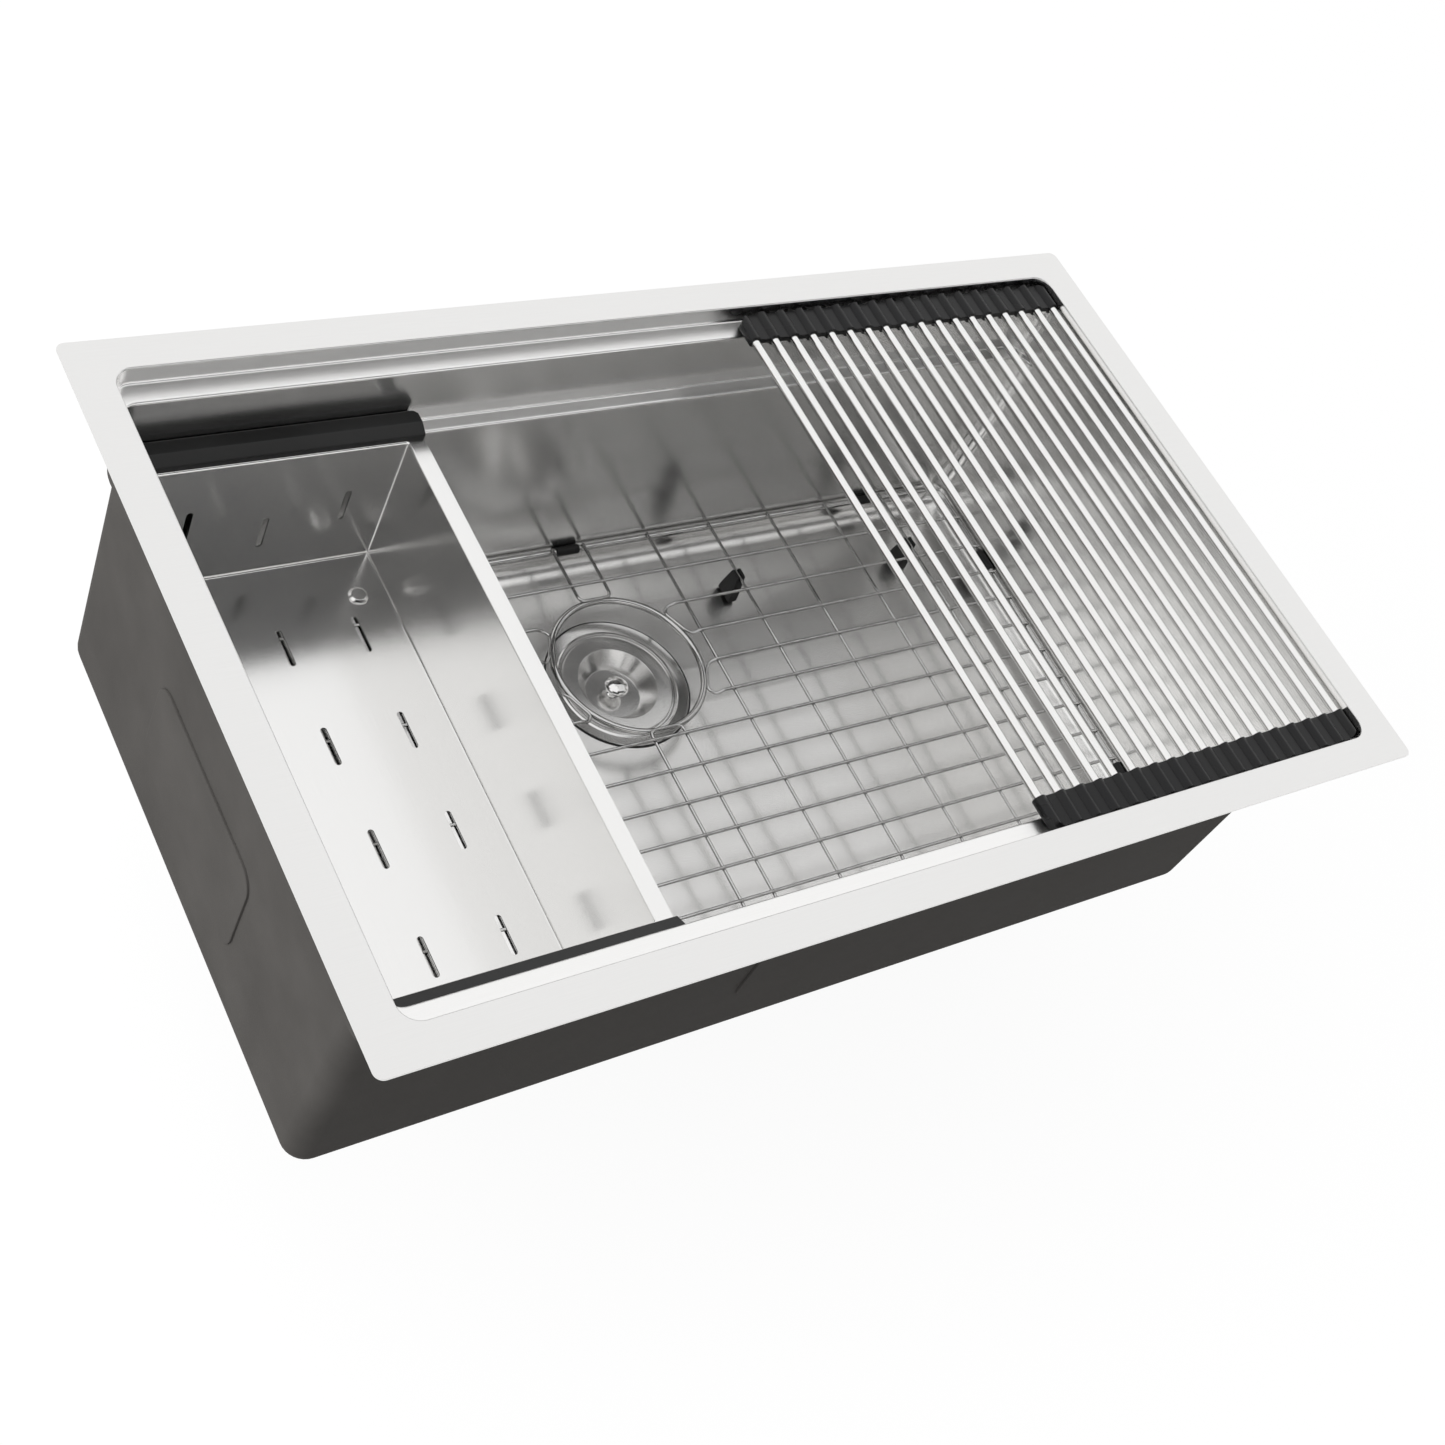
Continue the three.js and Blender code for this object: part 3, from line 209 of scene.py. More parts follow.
def ranged(tree, value, start, end, low, high):
    """Turn a value from start to end into one from low to high."""
    spread = add_node(tree, "MapRange", {"From Min": start, "From Max": end, "To Min": low, "To Max": high})
    tree.links.new(value, spread.inputs["Value"])
    return spread.outputs["Result"]


def mixed(tree, share, first, second):
    mix = add_node(tree, "MixShader")
    for socket, value in zip(mix.inputs, (share, first.outputs[0], second.outputs[0])):
        tree.links.new(value, socket)
    return mix.outputs[0]


# ---- camera, light and floor -----------------------------
def add_camera():
    lens = bpy.data.cameras.new("photo_camera")
    lens.sensor_width = 36
    lens.lens = CAMERA_LENS
    lens.clip_end = 50
    camera = bpy.data.objects.new("photo_camera", lens)
    camera.location = CAMERA_PLACE
    camera.rotation_euler = [math.radians(angle) for angle in CAMERA_TURN]
    bpy.context.scene.collection.objects.link(camera)
    bpy.context.scene.camera = camera


def add_softbox(name, place, target, width, length, watts):
    """A wide soft lamp. Polished metal shows the white room instead of it."""
    light = bpy.data.lights.new(name, "AREA")
    light.shape = "RECTANGLE"
    light.size = width
    light.size_y = length
    light.energy = watts
    box = bpy.data.objects.new(name, light)
    box.location = place
    aim = Vector(target) - Vector(place)
    box.rotation_euler = aim.to_track_quat("-Z", "Y").to_euler()
    box.visible_glossy = False
    bpy.context.scene.collection.objects.link(box)


def seen_background(tree):
    """1 for what the camera sees, straight or in metal and glass, and 0 for the light on matt surfaces."""
    path = add_node(tree, "LightPath")
    seen = path.outputs["Is Camera Ray"]
    for label in ("Is Glossy Ray", "Is Transmission Ray"):
        add = add_node(tree, "Math", operation="ADD", use_clamp=True)
        tree.links.new(seen, add.inputs[0])
        tree.links.new(path.outputs[label], add.inputs[1])
        seen = add.outputs[0]
    return seen


def add_studio():
    """A white room that lights the sink mostly from above the back left, and two wide lamps."""
    world = bpy.data.worlds.new("studio")
    bpy.context.scene.world = world
    world.use_nodes = True
    tree = world.node_tree
    tree.nodes.clear()
    place = add_node(tree, "TexCoord")
    facing = vector_math(tree, "DOT_PRODUCT", place.outputs["Generated"], BRIGHT_SIDE)
    room = add_node(tree, "Background", {"Color": WHITE})
    level = ranged(tree, facing.outputs["Value"], -0.5, 0.8, 0.1, 0.9)
    tree.links.new(level, room.inputs["Strength"])
    backdrop = add_node(tree, "Background", {"Color": WHITE})
    out = add_node(tree, "OutputWorld")
    tree.links.new(mixed(tree, seen_background(tree), room, backdrop), out.inputs[0])
    add_softbox("overhead_softbox", (-0.6, 0.6, 2.1), (0, 0, 0), width=1.8, length=1.4, watts=8)
    add_softbox("left_softbox", (-2, 0.3, 0.7), (-0.3, 0, -0.15), width=1.4, length=1.4, watts=20)


def add_stage(name, bm, paint):
    """Something round the sink that isn't part of it."""
    mesh = bpy.data.meshes.new(name)
    bm.to_mesh(mesh)
    bm.free()
    piece = bpy.data.objects.new(name, mesh)
    bpy.context.scene.collection.objects.link(piece)
    material = bpy.data.materials.new(name)
    material.use_nodes = True
    tree = material.node_tree
    tree.nodes.clear()
    out = add_node(tree, "OutputMaterial")
    tree.links.new(paint(tree), out.inputs[0])
    mesh.materials.append(material)


def floor_paint(tree):
    """Pale paint that the camera sees as white, but for the shadow on it."""
    share = add_node(tree, "Math", {1: 0.85}, operation="MULTIPLY")
    tree.links.new(seen_background(tree), share.inputs[0])
    paint = add_node(tree, "BsdfDiffuse", {"Color": (0.6, 0.6, 0.6, 1)})
    glow = add_node(tree, "Emission", {"Strength": 1.1})
    return mixed(tree, share.outputs[0], paint, glow)


def panel_paint(tree):
    return add_node(tree, "BsdfDiffuse", {"Color": (0.03, 0.03, 0.03, 1)}).outputs[0]


def add_backdrops():
    """The floor, and a dark panel hung high up in front of the sink, which shades its steel walls.

    The panel is 5.7 m wide and 2 m high, and its lower edge is 1 m above the rim.
    """
    floor = bmesh.new()
    under = Matrix.Translation((0, 0, cad_box[0].z - 0.001))
    bmesh.ops.create_grid(floor, x_segments=1, y_segments=1, size=6, matrix=under)
    add_stage("white_floor", floor, floor_paint)
    panel = bmesh.new()
    hung = Matrix.Translation((0.35, -1.15, 2)) @ Matrix.Rotation(math.pi / 2, 4, "X")
    wide = Matrix.Diagonal((2.85, 1, 1, 1))
    bmesh.ops.create_grid(panel, x_segments=1, y_segments=1, size=1, matrix=hung @ wide)
    add_stage("shade_panel", panel, panel_paint)


# ---- finishes --------------------------------------------
# node groups that several finishes share, by name
GRAINS = {}


def new_group(name, inputs, outputs):
    """A group whose inputs start at these vectors and numbers, and whose outputs are masks."""
    group = bpy.data.node_groups.new(name, "ShaderNodeTree")
    for label, value in inputs.items():
        kind = "NodeSocketVector" if isinstance(value, tuple) else "NodeSocketFloat"
        socket = group.interface.new_socket(label, in_out="INPUT", socket_type=kind)
        socket.default_value = value
    for label in outputs:
        group.interface.new_socket(label, in_out="OUTPUT", socket_type="NodeSocketFloat")
    return group, group.nodes.new("NodeGroupInput").outputs, group.nodes.new("NodeGroupOutput").inputs


def scaled_noise(group, place, scale, detail):
    """Noise in a place stretched by a vector."""
    stretch = vector_math(group, "MULTIPLY", place, scale)
    noise = add_node(group, "TexNoise", {"Scale": 1, "Detail": detail})
    group.links.new(stretch.outputs[0], noise.inputs["Vector"])
    return noise.outputs["Fac"]


def make_brushed_grain():
    """Fine scratches along one direction, and the slow waves of rolled sheet."""
    inputs = {"Place": (0, 0, 0), "Scratches": (40, 2500, 2500), "Waves": (12, 12, 12)}
    group, given, made = new_group("brushed_grain", inputs, ("Scratch", "Wave"))
    group.links.new(scaled_noise(group, given["Place"], given["Scratches"], 3), made["Scratch"])
    group.links.new(scaled_noise(group, given["Place"], given["Waves"], 1), made["Wave"])
    return group


def make_turned_grain():
    """Rings round an upright axis, as a lathe leaves them, and slow waves."""
    inputs = {"Place": (0, 0, 0), "Centre": (0, 0, 0), "Pitch": 2500}
    group, given, made = new_group("turned_grain", inputs, ("Scratch", "Wave"))
    away = vector_math(group, "SUBTRACT", given["Place"], given["Centre"])
    level = vector_math(group, "MULTIPLY", away.outputs[0], (1, 1, 0))
    reach = add_node(group, "VectorMath", operation="LENGTH")
    group.links.new(level.outputs[0], reach.inputs[0])
    rings = add_node(group, "Math", operation="MULTIPLY")
    group.links.new(reach.outputs["Value"], rings.inputs[0])
    group.links.new(given["Pitch"], rings.inputs[1])
    noise = add_node(group, "TexNoise", {"Scale": 1, "Detail": 3}, noise_dimensions="1D")
    group.links.new(rings.outputs[0], noise.inputs["W"])
    group.links.new(noise.outputs["Fac"], made["Scratch"])
    group.links.new(scaled_noise(group, given["Place"], (60, 60, 60), 1), made["Wave"])
    return group


def make_fine_pits():
    """The even, fine roughness of sprayed coats, rubber and moulded plastic, and slow blotches."""
    inputs = {"Place": (0, 0, 0), "Pits": (1500, 1500, 1500), "Blotches": (14, 14, 14)}
    group, given, made = new_group("fine_pits", inputs, ("Pit", "Blotch"))
    group.links.new(scaled_noise(group, given["Place"], given["Pits"], 2), made["Pit"])
    group.links.new(scaled_noise(group, given["Place"], given["Blotches"], 4), made["Blotch"])
    return group


def new_finish(name, grain, settings, metallic):
    """A material with a grain group in it, ready for its colours."""
    material = bpy.data.materials.new(name)
    material.use_nodes = True
    tree = material.node_tree
    shader = tree.nodes["Principled BSDF"].inputs
    shader["Metallic"].default_value = metallic
    texture = add_node(tree, "Group", node_tree=GRAINS[grain])
    for label, value in settings.items():
        texture.inputs[label].default_value = value
    tree.links.new(add_node(tree, "TexCoord").outputs["Object"], texture.inputs["Place"])
    return material, tree, shader, texture.outputs


def spread_value(tree, value, low, high):
    """Turn a mask from 0.3 to 0.7, where noise mostly lies, into a value from low to high."""
    return ranged(tree, value, 0.3, 0.7, low, high)


def spread_color(tree, value, dark, light):
    """Turn such a mask into a colour from dark to light."""
    ramp = add_node(tree, "ValToRGB")
    for element, place, color in zip(ramp.color_ramp.elements, (0.3, 0.7), (dark, light)):
        element.position = place
        element.color = (*color, 1)
    tree.links.new(value, ramp.inputs[0])
    return ramp.outputs["Color"]


def bumped(tree, height, depth, normal=None):
    bump = add_node(tree, "Bump", {"Strength": 1, "Distance": depth})
    tree.links.new(height, bump.inputs["Height"])
    if normal is not None:
        tree.links.new(normal, bump.inputs["Normal"])
    return bump.outputs["Normal"]


def rubbed_rougher(tree, roughness, start, full, amount):
    """Add to the roughness of level faces: nothing at one height, and the whole amount from another on."""
    place = add_node(tree, "TexCoord")
    masks = []
    for source, low, high, most in (("Object", start * MM, full * MM, amount), ("Normal", 0.4, 0.9, 1)):
        split = add_node(tree, "SeparateXYZ")
        tree.links.new(place.outputs[source], split.inputs[0])
        masks.append(ranged(tree, split.outputs["Z"], low, high, 0, most))
    more = add_node(tree, "Math", operation="MULTIPLY_ADD")
    for value, socket in zip((*masks, roughness), more.inputs):
        tree.links.new(value, socket)
    return more.outputs[0]


def across_brushing(tree, brushed):
    """The direction in the surface that is square to the brushing."""
    facing = add_node(tree, "NewGeometry")
    return vector_math(tree, "CROSS_PRODUCT", facing.outputs["Normal"], brushed).outputs[0]


def across_rings(tree):
    """The direction away from the drain's axis."""
    place = add_node(tree, "TexCoord")
    return vector_math(tree, "SUBTRACT", place.outputs["Object"], (0, DRAIN_Y * MM, -0.25)).outputs[0]


def steel(name, grain, settings, tone, rough, scratch, wave, edge=1, brushed=None, rubbed=()):
    """Stainless steel, whose reflections spread across its grain.

    tone is its brightness, and edge its brightness seen edge on; below 1, edge is a painted dark reflection
    that darkens the metal at grazing angles where dark surroundings would be reflected. rough is its range
    of roughness. scratch and wave are the depths of its grain, in metres. brushed is the direction of
    strong brushing. rubbed lists where its level faces are rougher, as two heights and an amount.
    """
    material, tree, shader, texture = new_finish(name, grain, settings, 1)
    dark = [tone * 0.985 * c for c in (1, 0.995, 0.985)]
    light = [tone * 1.015 * c for c in (1, 0.995, 0.985)]
    tree.links.new(spread_color(tree, texture["Scratch"], dark, light), shader["Base Color"])
    roughness = spread_value(tree, texture["Scratch"], *rough)
    for start, full, amount in rubbed:
        roughness = rubbed_rougher(tree, roughness, start, full, amount)
    tree.links.new(roughness, shader["Roughness"])
    normal = bumped(tree, texture["Wave"], wave)
    normal = bumped(tree, texture["Scratch"], scratch, normal)
    tree.links.new(normal, shader["Normal"])
    # an edge tint below 1 is a painted reflection: it darkens the metal seen edge on, in place of dark
    # surroundings reflected there
    shader["Specular Tint"].default_value = (edge, edge, edge, 1)
    if brushed:
        tree.links.new(across_brushing(tree, brushed), shader["Tangent"])
        shader["Anisotropic"].default_value = 0.55
    if grain == "turned_grain":
        tree.links.new(across_rings(tree), shader["Tangent"])
        shader["Anisotropic"].default_value = 0.35
    return material


def brass(name, settings):
    material, tree, shader, texture = new_finish(name, "turned_grain", settings, 1)
    color = spread_color(tree, texture["Wave"], (0.56, 0.4, 0.17), (0.66, 0.5, 0.24))
    tree.links.new(color, shader["Base Color"])
    tree.links.new(spread_value(tree, texture["Scratch"], 0.25, 0.4), shader["Roughness"])
    tree.links.new(bumped(tree, texture["Scratch"], 2e-5), shader["Normal"])
    return material


def matt(name, dark, light, rough, pits, depth, gloss=0.5):
    """A sprayed, moulded or pressed finish without metal. pits is how many there are to a metre."""
    material, tree, shader, texture = new_finish(name, "fine_pits", {"Pits": (pits, pits, pits)}, 0)
    tree.links.new(spread_color(tree, texture["Blotch"], dark, light), shader["Base Color"])
    tree.links.new(spread_value(tree, texture["Blotch"], *rough), shader["Roughness"])
    tree.links.new(bumped(tree, texture["Pit"], depth), shader["Normal"])
    shader["Specular IOR Level"].default_value = gloss
    return material


def grey(tone):
    return (tone, tone, tone)


def make_finishes():
    """The finish of every slot, by the slot's name."""
    GRAINS["brushed_grain"] = make_brushed_grain()
    GRAINS["turned_grain"] = make_turned_grain()
    GRAINS["fine_pits"] = make_fine_pits()
    drain = {"Centre": (0, DRAIN_Y * MM, 0)}
    along_x = {"Scratches": (30, 2500, 2500), "Waves": (14, 5, 5)}
    along_y = {"Scratches": (2500, 30, 2500), "Waves": (5, 14, 5)}
    drawn = {"Scratches": (400, 400, 400), "Waves": (60, 60, 60)}
    # a little off the axis, because a wall that faces straight along its brushing has nothing across it
    nearly_x = (1, 0.05, 0)
    nearly_y = (0.05, 1, 0)
    # the mat and the colander rub the ledges, and the grid and dishes the floor
    ledges = (LOWER_LEDGE_Z - 8, LOWER_LEDGE_Z, 0.14)
    floor = (FLOOR_Z + 12, FLOOR_Z + 2, 0.08)
    # each row holds what steel or matt takes after the name and the grain
    brushed_steels = {
        "rim_steel": (along_x, 0.84, (0.3, 0.36), 2e-6, 3e-5),
        "bowl_steel": (along_x, 0.94, (0.17, 0.19), 1e-7, 1e-4, 1, nearly_x, (ledges, floor)),
        "tray_steel": (along_y, 0.88, (0.18, 0.21), 1e-7, 1e-4, 1, nearly_y),
        # the edge values of the wires and rods, 0.1 and 0.2, paint a dark reflection along their sides
        "wire_steel": (drawn, 0.6, (0.05, 0.08), 5e-7, 2e-5, 0.1),
        "rod_steel": (along_y, 0.88, (0.14, 0.2), 1e-6, 2e-5, 0.2),
    }
    turned_steels = {
        "drain_steel": (drain, 0.76, (0.13, 0.17), 2e-7, 1e-5),
        "lid_steel": (drain, 0.8, (0.18, 0.22), 2e-7, 1e-5),
        "knob_steel": (drain, 0.85, (0.04, 0.07), 5e-7, 1e-5),
        "pipe_steel": (drain, 0.6, (0.12, 0.18), 2e-7, 2e-5),
    }
    sprayed = ((0.075, 0.071, 0.067), (0.105, 0.1, 0.095), (0.6, 0.75), 900, 1e-4, 0.03)
    matt_finishes = {
        "undercoat": sprayed,
        "sound_pad": sprayed,
        "gasket_rubber": ((0.024, 0.024, 0.025), grey(0.034), (0.5, 0.65), 1500, 4e-5),
        "fibre": ((0.4, 0.31, 0.19), (0.5, 0.4, 0.26), (0.75, 0.9), 2500, 1e-4),
        "grid_rubber": (grey(0.012), grey(0.02), (0.4, 0.5), 1800, 2e-5, 0.3),
        "rail_plastic": (grey(0.013), grey(0.02), (0.3, 0.38), 1600, 1e-5, 0.3),
        "strip_silicone": ((0.007, 0.007, 0.008), grey(0.012), (0.22, 0.3), 1600, 1e-5, 0.25),
    }
    finishes = {"nut_brass": brass("nut_brass", drain)}
    for name, facts in brushed_steels.items():
        finishes[name] = steel(name, "brushed_grain", *facts)
    for name, facts in turned_steels.items():
        finishes[name] = steel(name, "turned_grain", *facts)
    for name, facts in matt_finishes.items():
        finishes[name] = matt(name, *facts)
    return finishes


# ---- shaping ---------------------------------------------
def add_piece(name, bm, body, nodes, slot, fold_angle=32):
    """Finish a shape drawn in millimetres as a piece that rides on a body."""
    bmesh.ops.scale(bm, vec=(MM, MM, MM), verts=bm.verts)
    for face in bm.faces:
        face.smooth = True
    for edge in bm.edges:
        if len(edge.link_faces) == 2:
            edge.smooth = edge.calc_face_angle(0) < math.radians(fold_angle)
    mesh = bpy.data.meshes.new(name)
    bm.to_mesh(mesh)
    bm.free()
    mesh.materials.append(FINISH[slot])
    piece = bpy.data.objects.new(name, mesh)
    bpy.context.scene.collection.objects.link(piece)
    even = piece.modifiers.new("even_normals", "WEIGHTED_NORMAL")
    even.keep_sharp = True
    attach(piece, body)
    if nodes:
        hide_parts(*nodes)


def only(kind, geometry):
    return [item for item in geometry if isinstance(item, kind)]


def shifted(bm, x, y, z):
    bmesh.ops.translate(bm, vec=(x, y, z), verts=bm.verts)
    return bm


def rotated(bm, angle, axis):
    bmesh.ops.rotate(bm, cent=(0, 0, 0), matrix=Matrix.Rotation(angle, 3, axis), verts=bm.verts)
    return bm


def merged(shapes):
    """Put several shapes into one."""
    whole = bmesh.new()
    for shape in shapes:
        mesh = bpy.data.meshes.new("part")
        shape.to_mesh(mesh)
        shape.free()
        whole.from_mesh(mesh)
        bpy.data.meshes.remove(mesh)
    return whole


def rounded_path(corners, radii, steps=4, closed=False):
    """The corners with an arc at each, of its radius or as much as fits."""
    corners = [Vector(corner) for corner in corners]
    count = len(corners)
    if not isinstance(radii, (list, tuple)):
        radii = [radii] * count
    path = []
    for i, corner in enumerate(corners):
        if not closed and i in (0, count - 1):
            path.append(corner)
            continue
        back = corners[i - 1] - corner
        ahead = corners[(i + 1) % count] - corner
        half = back.angle(ahead) / 2
        if half > math.radians(89.5) or not radii[i]:
            path.append(corner)
            continue
        reach = min(radii[i] / math.tan(half), 0.45 * back.length, 0.45 * ahead.length)
        radius = reach * math.tan(half)
        middle = corner + (back.normalized() + ahead.normalized()).normalized() * (radius / math.sin(half))
        first = (corner + back.normalized() * reach - middle).normalized()
        last = (corner + ahead.normalized() * reach - middle).normalized()
        path += [middle + first.slerp(last, step / steps) * radius for step in range(steps + 1)]
    return path


def bevelled(bm, geometry, width, segments, affect="EDGES", clamp_overlap=False):
    return bmesh.ops.bevel(
        bm,
        geom=geometry,
        offset=width,
        offset_type="OFFSET",
        segments=segments,
        profile=0.5,
        affect=affect,
        clamp_overlap=clamp_overlap,
        material=-1,
    )


def cut_corners(bm, verts, radius, steps):
    """Round the corners of a single face, and give it back."""
    made = bevelled(bm, verts, radius, steps, affect="VERTICES")
    return made["verts"][0].link_faces[0]


def edges_alone(bm, face):
    """Take a face away and keep its edges."""
    loop = face.edges[:]
    bmesh.ops.delete(bm, geom=[face], context="FACES_ONLY")
    return loop


def rounded_loop(bm, half_x, half_y, radius, z, spacing=12):
    """A rounded rectangle of edges, with points along its straight sides."""
    made = bmesh.ops.create_grid(bm, x_segments=1, y_segments=1, size=1)["verts"]
    bmesh.ops.scale(bm, vec=(half_x, half_y, 1), verts=made)
    bmesh.ops.translate(bm, vec=(0, 0, z), verts=made)
    face = cut_corners(bm, made, radius, CORNER_STEPS)
    if spacing:
        for axis, length in ((0, 2 * OPENING_HALF_X), (1, 2 * OPENING_HALF_Y)):
            sides = []
            for edge in face.edges:
                run = abs(edge.verts[0].co[axis] - edge.verts[1].co[axis])
                if run > 0.999 * edge.calc_length() > 30:
                    sides.append(edge)
            bmesh.ops.bisect_edges(bm, edges=sides, cuts=int(length / spacing))
    return edges_alone(bm, face)


def bridge(bm, loops, closed=False):
    pairs = zip(loops, loops[1:] + loops[:1]) if closed else zip(loops, loops[1:])
    for first, second in pairs:
        bmesh.ops.bridge_loops(bm, edges=first + second)


def spun(profile, steps, closed=False):
    """Points in the X-Z plane, joined and spun about the upright axis at the origin."""
    bm = bmesh.new()
    verts = [bm.verts.new(point) for point in profile]
    edges = [bm.edges.new(pair) for pair in zip(verts, verts[1:] + (verts[:1] if closed else []))]
    bmesh.ops.spin(
        bm,
        geom=verts + edges,
        cent=(0, 0, 0),
        axis=(0, 0, 1),
        angle=2 * math.pi,
        steps=steps,
        use_merge=True,
    )
    bmesh.ops.remove_doubles(bm, verts=bm.verts, dist=0.0005)
    return bm


def turned(profile, rounding=0.3, closed=True, steps=TURN_STEPS):
    """A (radius, height) profile, rounded at its corners and turned about the axis."""
    path = rounded_path([(radius, 0, z) for radius, z in profile], rounding, 3, closed)
    bm = spun(path, steps, closed)
    bmesh.ops.recalc_face_normals(bm, faces=bm.faces)
    return bm


def ring_section(inner, outer, low, high):
    return [(inner, low), (outer, low), (outer, high), (inner, high)]


def prism(outline, axis, length):
    """A flat outline of points drawn out along an axis."""
    bm = bmesh.new()
    face = bm.faces.new([bm.verts.new(point) for point in outline])
    drawn = bmesh.ops.extrude_face_region(bm, geom=[face])["geom"]
    bmesh.ops.translate(bm, vec=Vector(axis) * length, verts=only(bmesh.types.BMVert, drawn))
    bmesh.ops.recalc_face_normals(bm, faces=bm.faces)
    return bm


def trim(bm, point, away):
    """Cut off what lies beyond a plane, and close the cut."""
    cut = bmesh.ops.bisect_plane(
        bm,
        geom=bm.verts[:] + bm.edges[:] + bm.faces[:],
        plane_co=point,
        plane_no=away,
        clear_outer=True,
        dist=0.0001,
    )
    edges = [edge for edge in only(bmesh.types.BMEdge, cut["geom_cut"]) if len(edge.link_faces) == 1]
    if edges:
        bmesh.ops.edgeloop_fill(bm, edges=edges)


def soften(bm, width, angle=30):
    """Round the edges where faces meet at more than an angle."""
    least = math.radians(angle)
    edges = [edge for edge in bm.edges if len(edge.link_faces) == 2 and edge.calc_face_angle(0) > least]
    bevelled(bm, edges, width, 2, clamp_overlap=True)
    return bm


def tube(path, radius, sides=12, closed=False):
    """A round wire along a path that lies nearly level."""
    bm = bmesh.new()
    path = [Vector(point) for point in path]
    count = len(path)
    loops = []
    for i, point in enumerate(path):
        before = path[i - 1] if closed or i else point
        after = path[(i + 1) % count] if closed or i + 1 < count else point
        along = (after - before).normalized()
        side = along.cross(Vector((0, 0, 1))).normalized()
        turn = Matrix((side, along.cross(side), along)).transposed().to_4x4()
        place = Matrix.Translation(point) @ turn
        is_end = not closed and i in (0, count - 1)
        made = bmesh.ops.create_circle(bm, cap_ends=is_end, segments=sides, radius=radius, matrix=place)
        ring = made["verts"]
        edges = {edge for vert in ring for edge in vert.link_edges if edge.other_vert(vert) in ring}
        loops.append(list(edges))
    bridge(bm, loops, closed)
    bmesh.ops.recalc_face_normals(bm, faces=bm.faces)
    return bm


# ---- sink ------------------------------------------------
def add_rim():
    """The flat frame, with its inner edge folded down into the walls."""
    bm = bmesh.new()
    loops = [rounded_loop(bm, OPENING_HALF_X, OPENING_HALF_Y, WALL_CORNER, -SHEET)]
    for step in range(6):
        angle = step / 5 * math.pi / 2
        out = RIM_FOLD * (1 - math.cos(angle))
        z = -RIM_FOLD * (1 - math.sin(angle))
        loops.append(rounded_loop(bm, OPENING_HALF_X + out, OPENING_HALF_Y + out, WALL_CORNER + out, z))
    edge = [
        (RIM_EDGE, -FALL),
        (RIM_EDGE / 3, -RIM_EDGE / 3),
        (0, -RIM_EDGE),
        (0, RIM_EDGE - SHEET),
        (RIM_EDGE, FALL - SHEET),
    ]
    for back, z in edge:
        loops.append(rounded_loop(bm, RIM_HALF_X - back, RIM_HALF_Y - back, RIM_CORNER - back, z))
    bridge(bm, loops, closed=True)
    bmesh.ops.recalc_face_normals(bm, faces=bm.faces)
    add_piece("rim", bm, "sink", ["rim_flange"], "rim_steel")


def drawn_in(bm, loop, centre, new_reach, z):
    """Draw a loop on towards a centre, to a new height."""
    drawn = bmesh.ops.extrude_edge_only(bm, edges=loop)["geom"]
    for vert in only(bmesh.types.BMVert, drawn):
        away = Vector((vert.co.x, vert.co.y, 0)) - centre
        vert.co = centre + away.normalized() * new_reach(away.length)
        vert.co.z = z
    return only(bmesh.types.BMEdge, drawn)


def bowl_skin(bm, grow, top, drain_path):
    """One side of the bowl's sheet, from its top down to the hole at the drain."""
    upper = UPPER_LEDGE_Y + grow
    lower = LOWER_LEDGE_Y + grow
    corners = [
        (0, OPENING_HALF_Y + grow, top),
        (0, OPENING_HALF_Y + grow, UPPER_LEDGE_Z - grow),
        (0, upper, UPPER_LEDGE_Z - grow - FALL),
        (0, upper, LOWER_LEDGE_Z - grow),
        (0, lower, LOWER_LEDGE_Z - grow - FALL),
        (0, lower, FLOOR_Z - grow),
        (0, lower - 80, FLOOR_Z - grow),
    ]
    convex = max(CONVEX_FOLD - grow, 0.2)
    concave = CONCAVE_FOLD + grow
    radii = [0, concave, convex, concave, convex, FLOOR_RADIUS + grow, 0]
    loops = []
    # the last corner only gives the fold into the floor its direction
    for point in rounded_path(corners, radii, steps=8)[:-1]:
        # the end walls have no ledges, and turn in only at the floor
        inset = max(lower - point.y, 0) if point.z < LOWER_LEDGE_Z - 20 else 0
        half_x = OPENING_HALF_X + grow - inset
        loops.append(rounded_loop(bm, half_x, point.y, max(WALL_CORNER + grow, inset), point.z))
    bridge(bm, loops)

    centre = Vector((0, DRAIN_Y, 0))
    loop = loops[-1]
    steps = 10
    for step in range(1, steps + 1):
        share = 1 - 1 / (steps - step + 1)
        z = FLOOR_Z - grow - FLOOR_FALL * (1 - math.cos(math.pi * step / steps)) / 2
        loop = drawn_in(bm, loop, centre, lambda reach: FLOOR_RING + (reach - FLOOR_RING) * share, z)
    for radius, z in drain_path:
        loop = drawn_in(bm, loop, centre, lambda reach: radius, z)
    return loops[0], loop


def sheet_between(inner, outer, top, drain_path):
    """A sheet with the bowl's form, between two distances out from the bowl's inner face."""
    bm = bmesh.new()
    skins = [bowl_skin(bm, grow, top - FALL * grow, drain_path(grow)) for grow in (inner, outer)]
    for loops in zip(*skins):
        bridge(bm, list(loops))
    bmesh.ops.recalc_face_normals(bm, faces=bm.faces)
    return bm


def recess_path(grow):
    """The recess that the drain's flange lies in, as (radius, height) points."""
    top = FLOOR_Z - FLOOR_FALL - grow
    corners = [
        (FLOOR_RING, 0, top),
        (RECESS_EDGE + grow, 0, top),
        (RECESS_FLOOR + grow, 0, top - RECESS_DEPTH),
        (DRAIN_HOLE, 0, top - RECESS_DEPTH),
    ]
    return [(point.x, point.z) for point in rounded_path(corners, 0.8, steps=3)[1:]]


def coat_path(grow):
    return [(COAT_HOLE, FLOOR_Z - FLOOR_FALL - grow)]


